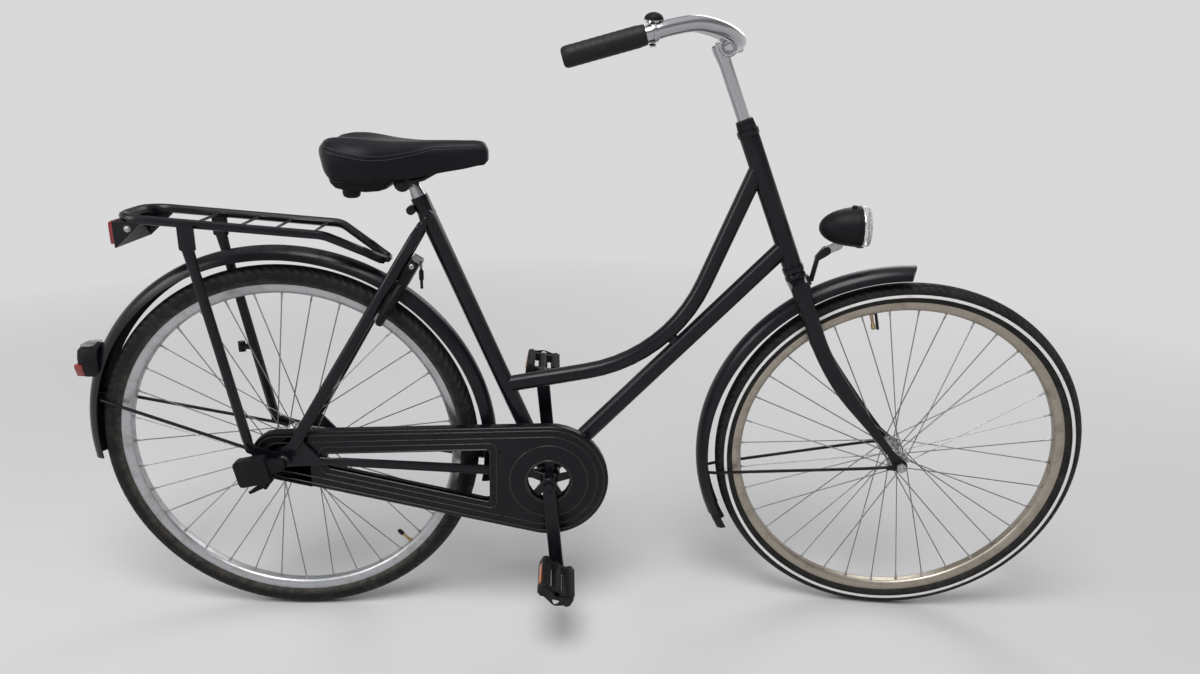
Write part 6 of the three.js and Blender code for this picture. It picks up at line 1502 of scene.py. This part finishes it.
class ForkOperator(bpy.types.Operator):
    """Makes the fork: curved oval blades, crown, race, steerer and the flat ends that hold the axle"""

    bl_idname = "bicycle.fork"
    bl_label = "Fork"

    def execute(self, context):
        form = Form()
        bend, tip = steer_at(FORK_BEND), FRONT_AXLE
        way = (tip - bend).normalized()
        start, end = steer_at(FORK_BEND_TOP), bend + way * FORK_BEND_LENGTH
        curve = [start.lerp(bend, k / 18).lerp(bend.lerp(end, k / 18), k / 18) for k in range(19)]
        straight = [tip - way * 0.039, tip - way * 0.0085]
        path = evenly([steer_at(FORK_CROWN), steer_at(FORK_SHOULDER)] + curve + straight, BLADE_STEPS)
        for side in (-1, 1):
            self.blade(form, path, side)
            upper = tip - way * DROPOUT_REACH
            ends = circle(tip.x, tip.z, DROPOUT_RADIUS, 32) + circle(upper.x, upper.z, DROPOUT_UPPER, 24)
            middle = side * DROPOUT_OUT
            form.add(*slab(hull(ends), middle - DROPOUT_HALF, middle + DROPOUT_HALF))
        along = Vector((STEER_AXIS.z, 0, -STEER_AXIS.x))
        turn = Matrix((along, Vector((0, 1, 0)), STEER_AXIS)).transposed().to_4x4()
        crown = Matrix.Translation(steer_at(FORK_CROWN)) @ turn
        form.add(*slab(softened_box(CROWN_LONG, CROWN_HIGH, CROWN_CORNER), -CROWN_HALF, CROWN_HALF), 0, crown)
        form.add(*turned(RACE, 40), 0, at(steer_at(FORK_RACE), STEER_AXIS))
        form.add(*swept([steer_at(FORK_CROWN), steer_at(FORK_STEERER_TOP)], STEERER_RADIUS, 24))
        piece = form.piece("oval_fork", "steering", FINISHES["enamel"], STEERED, 38, stands_for=["fork"])
        return {"FINISHED"}

    def blade(self, form, path, side):
        """One blade, thinner and further out towards its tip"""
        loops = []
        for i, point in enumerate(path):
            before, after = (path[i - 1], path[i]) if i else (path[0], path[1])
            ahead = (after - before).normalized()
            share = i / (len(path) - 1)
            taper = BLADE_TAPER * eased((share - 0.50) / 0.42)
            centre = point + Vector((0, side * (BLADE_OUT + BLADE_SPREAD * min(1, share * 1.17)), 0))
            across = Vector((-ahead.z, 0, ahead.x))
            loops.append(oval(centre, across, BLADE_DEEP - taper, BLADE_WIDE - taper, BLADE_SIDES))
        form.add(*lofted(loops))


# Head lamp, tail lamp and reflector
LAMP_PIVOT = STRAIGHT @ joint_place("headlamp_tilt")
LAMP_PLACE = LAMP_PIVOT + Vector((-0.018, 0, 0.042))
LAMP_WAY = Vector((math.cos(math.radians(4)), 0, math.sin(math.radians(4))))
LAMP_RADIUS = 0.0365
LAMP_LENGTH = 0.077
# Shares of the lamp's radius and length, round the shell's outside and back along its inside
LAMP_SHELL = (
    (0.0, 0.0), (0.18, 0.012), (0.33, 0.05), (0.49, 0.115), (0.62, 0.2), (0.74, 0.305), (0.83, 0.42),
    (0.905, 0.56), (0.96, 0.72), (0.985, 0.80), (1.0, 0.87), (1.0, 0.935), (0.985, 0.948),
    (0.945, 0.948), (0.935, 0.88),
    (0.80, 0.60), (0.45, 0.34), (0.0, 0.28),
)
# Radius and place along the lamp, of its rim, its lens and its mirror
LAMP_RIM = ((LAMP_RADIUS - 0.0010, 0.0650), (LAMP_RADIUS + 0.0005, 0.0656), (LAMP_RADIUS + 0.0005, 0.0722),
            (LAMP_RADIUS - 0.0010, 0.0728))
LAMP_LENS = ((0.0356, 0.0732), (0.0363, 0.0740), (0.0360, 0.0845), (0.0352, 0.0862), (0.0320, 0.0868),
             (0.0200, 0.0874), (0.0060, 0.0876))
LAMP_MIRROR = ((0.0345, 0.0764), (0.0300, 0.0600), (0.0200, 0.0430), (0.0080, 0.0350), (0.0, 0.0340),
               (0.0, 0.0335), (0.0080, 0.0345), (0.0203, 0.0424), (0.0303, 0.0595), (0.0350, 0.0762))
LENS_STEPS, LENS_RIPPLE = 144, 0.0003
# Place along the lamp, height above its axis and radius of the knob on the rim
LAMP_KNOB = ((0.0600, 0.0340, 0.0048), (0.0602, 0.0372, 0.0052), (0.0602, 0.0384, 0.0048),
             (0.0602, 0.0390, 0.0034))
# The clip below the rim: half sizes and corner, place along the lamp, and height
LAMP_CLIP, LAMP_CLIP_SPAN, LAMP_CLIP_HEIGHT = (0.0050, 0.0018, 0.0008), (0.0690, 0.0800), -0.0372
LAMP_FOOT_RADIUS, LAMP_FOOT_HALF = 0.0079, 0.0019
# Inset and height of the tail lamp's clear window
TAIL_WINDOW = ((0.0, -0.0010), (0.0, 0.0012), (0.0012, 0.0022))
REFLECTOR_BOLT = Vector((-0.2243, 0.0620, 0.7669))


class LampsOperator(bpy.types.Operator):
    """Makes the head lamp with its ribbed lens, mirror and knob, and finishes the tail lamp and reflector"""

    bl_idname = "bicycle.lamps"
    bl_label = "Lamps"

    def execute(self, context):
        place = STEERED @ at(LAMP_PLACE, LAMP_WAY)
        form = Form()
        form.add(*turned([(r * LAMP_RADIUS, y * LAMP_LENGTH) for r, y in LAMP_SHELL], 64))
        form.add(*turned(LAMP_RIM, 64))
        shell = form.piece("head_lamp_shell", "headlamp", FINISHES["moulding"], place, 40,
                           stands_for=["headlamp_shell"])
        self.lens(place)
        self.mirror(place)
        self.fittings(place)
        dress("tail_lamp_lens", FINISHES["red"], 0.0008)
        dress("rear_reflector", FINISHES["red"], 0.0)
        self.tail()
        self.reflector_bolts()
        return {"FINISHED"}

    def lens(self, place):
        """A clear cap with ribs round its edge"""
        form, count = Form(), len(LAMP_LENS)
        points = []
        for s in range(LENS_STEPS):
            ripple = LENS_RIPPLE if s % 2 else 0.0
            angle = math.tau * s / LENS_STEPS
            points += [((r - ripple) * math.cos(angle), y - ripple * 0.6, (r - ripple) * math.sin(angle))
                       for r, y in LAMP_LENS]
        faces = ring_faces(LENS_STEPS, count, closed=True)
        faces = [face for face in faces if abs(face[0] % count - face[1] % count) == 1]
        faces.append([s * count + count - 1 for s in range(LENS_STEPS)])
        faces.append([s * count for s in range(LENS_STEPS)][::-1])
        form.add(points, faces)
        lens = form.piece("head_lamp_lens", "headlamp", FINISHES["clear"], place, 30,
                          stands_for=["headlamp_lens"])

    def mirror(self, place):
        """The bright bowl behind the lens, with its bulb"""
        form = Form()
        form.add(*turned(LAMP_MIRROR, 48))
        dome_form(form, at((0, 0.034, 0)), 0.0042, 0.0160, 0, 20, 6, 0.009)
        mirror = form.piece("head_lamp_mirror", "headlamp", FINISHES["bowl"], place, 50)

    def fittings(self, place):
        """The foot under the shell, the knob on the rim and the clip below it"""
        form = Form()
        middle = LAMP_PLACE + Vector((LAMP_LENGTH * 0.5, 0, -LAMP_RADIUS * 0.86))
        ends = [p for end in (LAMP_PIVOT, middle) for p in circle(end.x, end.z, LAMP_FOOT_RADIUS, 20)]
        form.add(*slab(hull(ends), -LAMP_FOOT_HALF, LAMP_FOOT_HALF))
        foot = form.piece("head_lamp_foot", "headlamp", FINISHES["zinc"], STEERED, 40)
        round_edges(foot, 0.0005)
        trim = Form()
        knob = [(0, y, z) for y, z, radius in LAMP_KNOB]
        trim.add(*swept(knob, [radius for y, z, radius in LAMP_KNOB], 16))
        below = Matrix.Translation((0, 0, LAMP_CLIP_HEIGHT))
        trim.add(*slab(softened_box(*LAMP_CLIP), *LAMP_CLIP_SPAN), 0, below)
        clips = trim.piece("head_lamp_clips", "headlamp", FINISHES["moulding"], place, 40)

    def tail(self):
        """The clear window on top of the tail lamp"""
        low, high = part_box("tail_lamp_body")
        form = Form()
        middle = (low + high) / 2
        half_x, half_y = (high.x - low.x) * 0.30, (high.y - low.y) * 0.36
        loops = []
        for inset, z in TAIL_WINDOW:
            loops.append([(middle.x - 0.001 + x, y, high.z - 0.0018 + z)
                          for x, y in softened_box(half_x - inset, half_y - inset, 0.004)])
        form.add(*lofted(loops))
        cap = form.piece("tail_lamp_window", "frame", FINISHES["clear"], crease=40)

    def reflector_bolts(self):
        """A washer and a round head on each side of the reflector's bracket"""
        form = Form()
        for side in (-1, 1):
            place = at((REFLECTOR_BOLT.x, side * REFLECTOR_BOLT.y, REFLECTOR_BOLT.z), (0, side, 0))
            form.add(*turned([(0.0, 0.0), (0.0056, 0.0), (0.0056, 0.0008), (0.0, 0.0008)], 24), 0, place)
            dome_form(form, place @ Matrix.Translation((0, 0.001, 0)), 0.0038, 0.0026, 0, 24, 5, 0.0006)
        piece = form.piece("reflector_bolts", "frame", FINISHES["zinc"], crease=50)


# Pedals
PEDAL_INNER = 0.081
PEDAL_LENGTH = 0.094
# Name, side and turn in degrees
PEDALS = (("right", -1, 27), ("left", 1, 9))
# How far an amber reflector stands out, and the size there
REFLECTOR_STEPS = ((0.0, 1.0), (0.0014, 1.0), (0.0022, 0.9))
REFLECTOR_OUT = 0.0325
RIB_COUNT, RIB_START, RIB_PITCH, RIB_HALF, RIB_HIGH, RIB_RADIUS = 5, 0.0185, 0.0032, 0.043, 0.0121, 0.0010


class PedalsOperator(bpy.types.Operator):
    """Finishes the pedals: ribbed rubber treads and amber reflectors"""

    bl_idname = "bicycle.pedals"
    bl_label = "Pedals"

    def execute(self, context):
        for name, side, turn in PEDALS:
            dress(f"pedal_{name}", FINISHES["rubber"], 0.0006)
            centre = joint_place(f"pedal_{name}_spin")
            place = Matrix.Translation((centre.x, 0, centre.z)) @ Matrix.Rotation(math.radians(turn), 4, "Y")
            body = f"pedal_{name}"
            middle = side * (PEDAL_INNER + PEDAL_LENGTH / 2)
            amber, ribs = Form(), Form()
            for way in (-1, 1):
                plate = softened_box(0.0052, 0.0300, 0.0030)
                loops = [[(way * (REFLECTOR_OUT + out), middle + z * shrink, x * shrink) for x, z in plate]
                         for out, shrink in REFLECTOR_STEPS]
                amber.add(*lofted(loops))
                for k in range(RIB_COUNT):
                    x = way * (RIB_START + RIB_PITCH * k)
                    for z in (-RIB_HIGH, RIB_HIGH):
                        rib = [(x, middle - RIB_HALF, z), (x, middle + RIB_HALF, z)]
                        ribs.add(*swept(rib, RIB_RADIUS, 8))
            lens = amber.piece(f"pedal_reflectors_{name}", body, FINISHES["amber"], place, 40)
            tread = ribs.piece(f"pedal_ribs_{name}", body, FINISHES["rubber"], place, 50)
        return {"FINISHED"}


# Cranks. Places across of an arm's inner and outer face, and radii at both its ends
CRANK_INNER, CRANK_OUTER = 0.0642, 0.0778
CRANK_ROOT, CRANK_TIP = 0.0124, 0.0130
# Radius of the boss and of the eye, and how far each stands out from the arm
CRANK_BOSS, BOSS_OUT = 0.0163, 0.0008
CRANK_EYE, EYE_OUT = 0.0134, 0.0004
CRANK_EDGE = 0.0026
# Radius and place along round the washer of the crank's bolt
CRANK_WASHER = ((0.0088, -0.001), (0.0108, -0.001), (0.0108, 0.0009), (0.0100, 0.0014), (0.0088, 0.0009))

# Seat stays: both ends, and share of the way, distance from the middle, depth and width
STAY_FOOT, STAY_EYE = Vector((0.0214, 0, 0.3793)), Vector((0.2662, 0, 0.7945))
STAY_STATIONS = (
    (-0.02, 0.0693, 0.0189, 0.0070), (0.07, 0.0693, 0.0210, 0.0070), (0.16, 0.0632, 0.0210, 0.0140),
    (0.66, 0.0421, 0.0200, 0.0140), (0.90, 0.0275, 0.0195, 0.0136), (0.955, 0.0240, 0.0160, 0.0100),
    (0.985, 0.0215, 0.0105, 0.0066), (1.0, 0.0202, 0.0050, 0.0036),
)
STAY_STEPS = 10

# Gear lever: place along, height and half breadth
LEVER_STATIONS = (
    (-0.0135, 0.3300, 0.0060), (-0.0205, 0.3200, 0.0068), (-0.0272, 0.3125, 0.0068),
    (-0.0352, 0.3070, 0.0058), (-0.0450, 0.3007, 0.0046), (-0.0540, 0.2951, 0.0040),
    (-0.0578, 0.2930, 0.0026),
)
LEVER_ACROSS, LEVER_HALF, LEVER_CORNER, LEVER_STEPS = -0.0935, 0.0025, 0.0014, 26

# Lock barrel and the sleeves on the rack's front ends, with share of the way and radius
BARREL_PLACE = (0.2390, -0.0365, 0.7074)
BARREL_FACE = ((0.0, 0.0), (0.0044, 0.0), (0.0044, 0.0010), (0.0037, 0.0016), (0.0, 0.0014))
SLEEVE_START, SLEEVE_END = Vector((0.150, 0.0345, 0.7362)), Vector((0.1860, 0.0150, 0.7132))
SLEEVE_STATIONS = ((0.0, 0.0058), (0.14, 0.0076), (0.5, 0.0080), (0.9, 0.0076), (1.05, 0.0056))


class SmallPiecesOperator(bpy.types.Operator):
    """Makes the cranks, seat stays, gear lever, lock barrel and rack sleeves, and finishes drive and keys"""

    bl_idname = "bicycle.small_pieces"
    bl_label = "Drive, stays and lock"

    def execute(self, context):
        for node, finish in (("chain_case_inner", "case"), ("drive_chain", "chain"), ("chainring", "enamel"),
                             ("rear_sprocket", "zinc"), ("ring_lock_key", "key"),
                             ("spare_key", "moulding")):
            dress(node, FINISHES[finish], 0.0)
        for name, side in (("right", -1), ("left", 1)):
            self.crank(name, side)
            self.crank_bolts(name, side)
            self.stay(name, side)
        self.lever()
        self.sleeves()
        self.barrel()
        return {"FINISHED"}

    def crank(self, name, side):
        """A forged crank with its boss and its eye"""
        end, form = joint_place(f"pedal_{name}_spin"), Form()
        for outline, out in (
            (hull(circle(BRACKET.x, BRACKET.z, CRANK_ROOT, 28) + circle(end.x, end.z, CRANK_TIP, 28)), 0.0),
            (circle(BRACKET.x, BRACKET.z, CRANK_BOSS, 40), BOSS_OUT),
            (circle(end.x, end.z, CRANK_EYE, 32), EYE_OUT),
        ):
            form.add(*slab(outline, *sorted((side * CRANK_INNER, side * (CRANK_OUTER + out)))))
        arm = form.piece(f"forged_crank_{name}", "crank_set", FINISHES["enamel"], crease=34,
                         stands_for=[f"crank_{name}"])
        round_edges(arm, CRANK_EDGE, 40, 3)

    def crank_bolts(self, name, side):
        """The crank's bolt in its washer, and the end of the pedal's axle with its nut"""
        end, form = joint_place(f"pedal_{name}_spin"), Form()
        out = Vector((0, side, 0))
        face = at((BRACKET.x, side * (CRANK_OUTER + BOSS_OUT), BRACKET.z), out)
        form.add(*turned(CRANK_WASHER, 32), 0, face)
        nut_form(form, face, 0.0110, 0.0016, finish=1)
        stub = Vector((end.x, side * CRANK_OUTER, end.z))
        form.add(*swept([stub - out * 0.004, stub + out * 0.0036], 0.0060, 20), 1)
        nut_form(form, at(stub + out * 0.0004, out), 0.0150, 0.0022, finish=1)
        finishes = [FINISHES["enamel"], FINISHES["chain"]]
        bolts = form.piece(f"crank_bolt_{name}", "crank_set", finishes, crease=35)

    def stay(self, name, side):
        """A seat stay, flattened at the dropout and drawn to a thin end on the seat tube"""
        way = (STAY_EYE - STAY_FOOT).normalized()
        across = Vector((way.z, 0, -way.x))
        places = [(low, high, k / STAY_STEPS) for low, high in zip(STAY_STATIONS, STAY_STATIONS[1:])
                  for k in range(STAY_STEPS)] + [(*STAY_STATIONS[-2:], 1.0)]
        loops = []
        for low, high, part in places:
            share = low[0] + (high[0] - low[0]) * part
            reach, depth, width = (a + (b - a) * eased(part) for a, b in zip(low[1:], high[1:]))
            centre = STAY_FOOT.lerp(STAY_EYE, share) + Vector((0, side * reach, 0))
            loops.append(oval(centre, across, depth / 2, width / 2))
        form = Form()
        form.add(*lofted(loops))
        piece = form.piece(f"drawn_seat_stay_{name}", "frame", FINISHES["enamel"], crease=40,
                           stands_for=[f"seat_stay_{name}"])

    def lever(self):
        """The hub's gear lever, a flat bent arm below the box"""
        path = spline([(x, LEVER_ACROSS, z) for x, z, half in LEVER_STATIONS], LEVER_STEPS)
        loops = []
        for i, centre in enumerate(path):
            ahead = path[min(i + 1, len(path) - 1)] - path[max(i - 1, 0)]
            across = Vector((-ahead.z, 0, ahead.x)).normalized()
            place = i / (len(path) - 1) * (len(LEVER_STATIONS) - 1)
            k = min(int(place), len(LEVER_STATIONS) - 2)
            low, high = LEVER_STATIONS[k][2], LEVER_STATIONS[k + 1][2]
            outline = softened_box(low + (high - low) * (place - k), LEVER_HALF, LEVER_CORNER)
            loops.append([centre + across * u + Vector((0, v, 0)) for u, v in outline])
        form = Form()
        form.add(*lofted(loops))
        piece = form.piece("bent_gear_lever", "gear_lever", FINISHES["moulding"], crease=42,
                           stands_for=["gear_lever"])

    def sleeves(self):
        """Moulded sleeves over the rack's front ends"""
        form = Form()
        for side in (-1, 1):
            start, end = (Vector((p.x, side * p.y, p.z)) for p in (SLEEVE_START, SLEEVE_END))
            form.add(*swept([start.lerp(end, share) for share, radius in SLEEVE_STATIONS],
                            [radius for share, radius in SLEEVE_STATIONS], 18))
        piece = form.piece("rack_tips", "frame", FINISHES["moulding"], crease=40)

    def barrel(self):
        """The lock's barrel with the slot for its key"""
        form, face = Form(), at(BARREL_PLACE, (0, -1, 0))
        form.add(*turned(BARREL_FACE, 28), 0, face)
        form.add(*slab(softened_box(0.0006, 0.0021, 0.0003), 0.0015, 0.0018), 1, face)
        piece = form.piece("lock_barrel", "frame", [FINISHES["zinc"], FINISHES["moulding"]], crease=40)


OPERATORS = [StageOperator, FrameOperator, WheelsOperator, GuardsOperator, CaseOperator, SaddleOperator,
             CockpitOperator, ForkOperator, LampsOperator, PedalsOperator, SmallPiecesOperator]


class BicyclePanel(bpy.types.Panel):
    """Lists the bicycle's colours, sizes and makers"""

    bl_idname = "VIEW3D_PT_bicycle"
    bl_label = "City bicycle"
    bl_space_type = "VIEW_3D"
    bl_region_type = "UI"
    bl_category = "Bicycle"

    def draw(self, context):
        scene = context.scene
        for group in (scene.bicycle_colours, scene.bicycle_sizes):
            box = self.layout.box()
            for name in group.__annotations__:
                box.prop(group, name)
        for operator in OPERATORS:
            self.layout.operator(operator.bl_idname)


CLASSES = [BicycleColours, BicycleSizes, *OPERATORS, BicyclePanel]


def register():
    for made in CLASSES:
        bpy.utils.register_class(made)
    bpy.types.Scene.bicycle_colours = bpy.props.PointerProperty(type=BicycleColours)
    bpy.types.Scene.bicycle_sizes = bpy.props.PointerProperty(type=BicycleSizes)


def unregister():
    del bpy.types.Scene.bicycle_sizes
    del bpy.types.Scene.bicycle_colours
    for made in reversed(CLASSES):
        bpy.utils.unregister_class(made)


def main():
    register()
    for operator in OPERATORS:
        group, name = operator.bl_idname.split(".")
        if getattr(getattr(bpy.ops, group), name)() != {"FINISHED"}:
            raise RuntimeError(f"{operator.bl_label} wasn't finished")


if __name__ == "__main__":
    main()
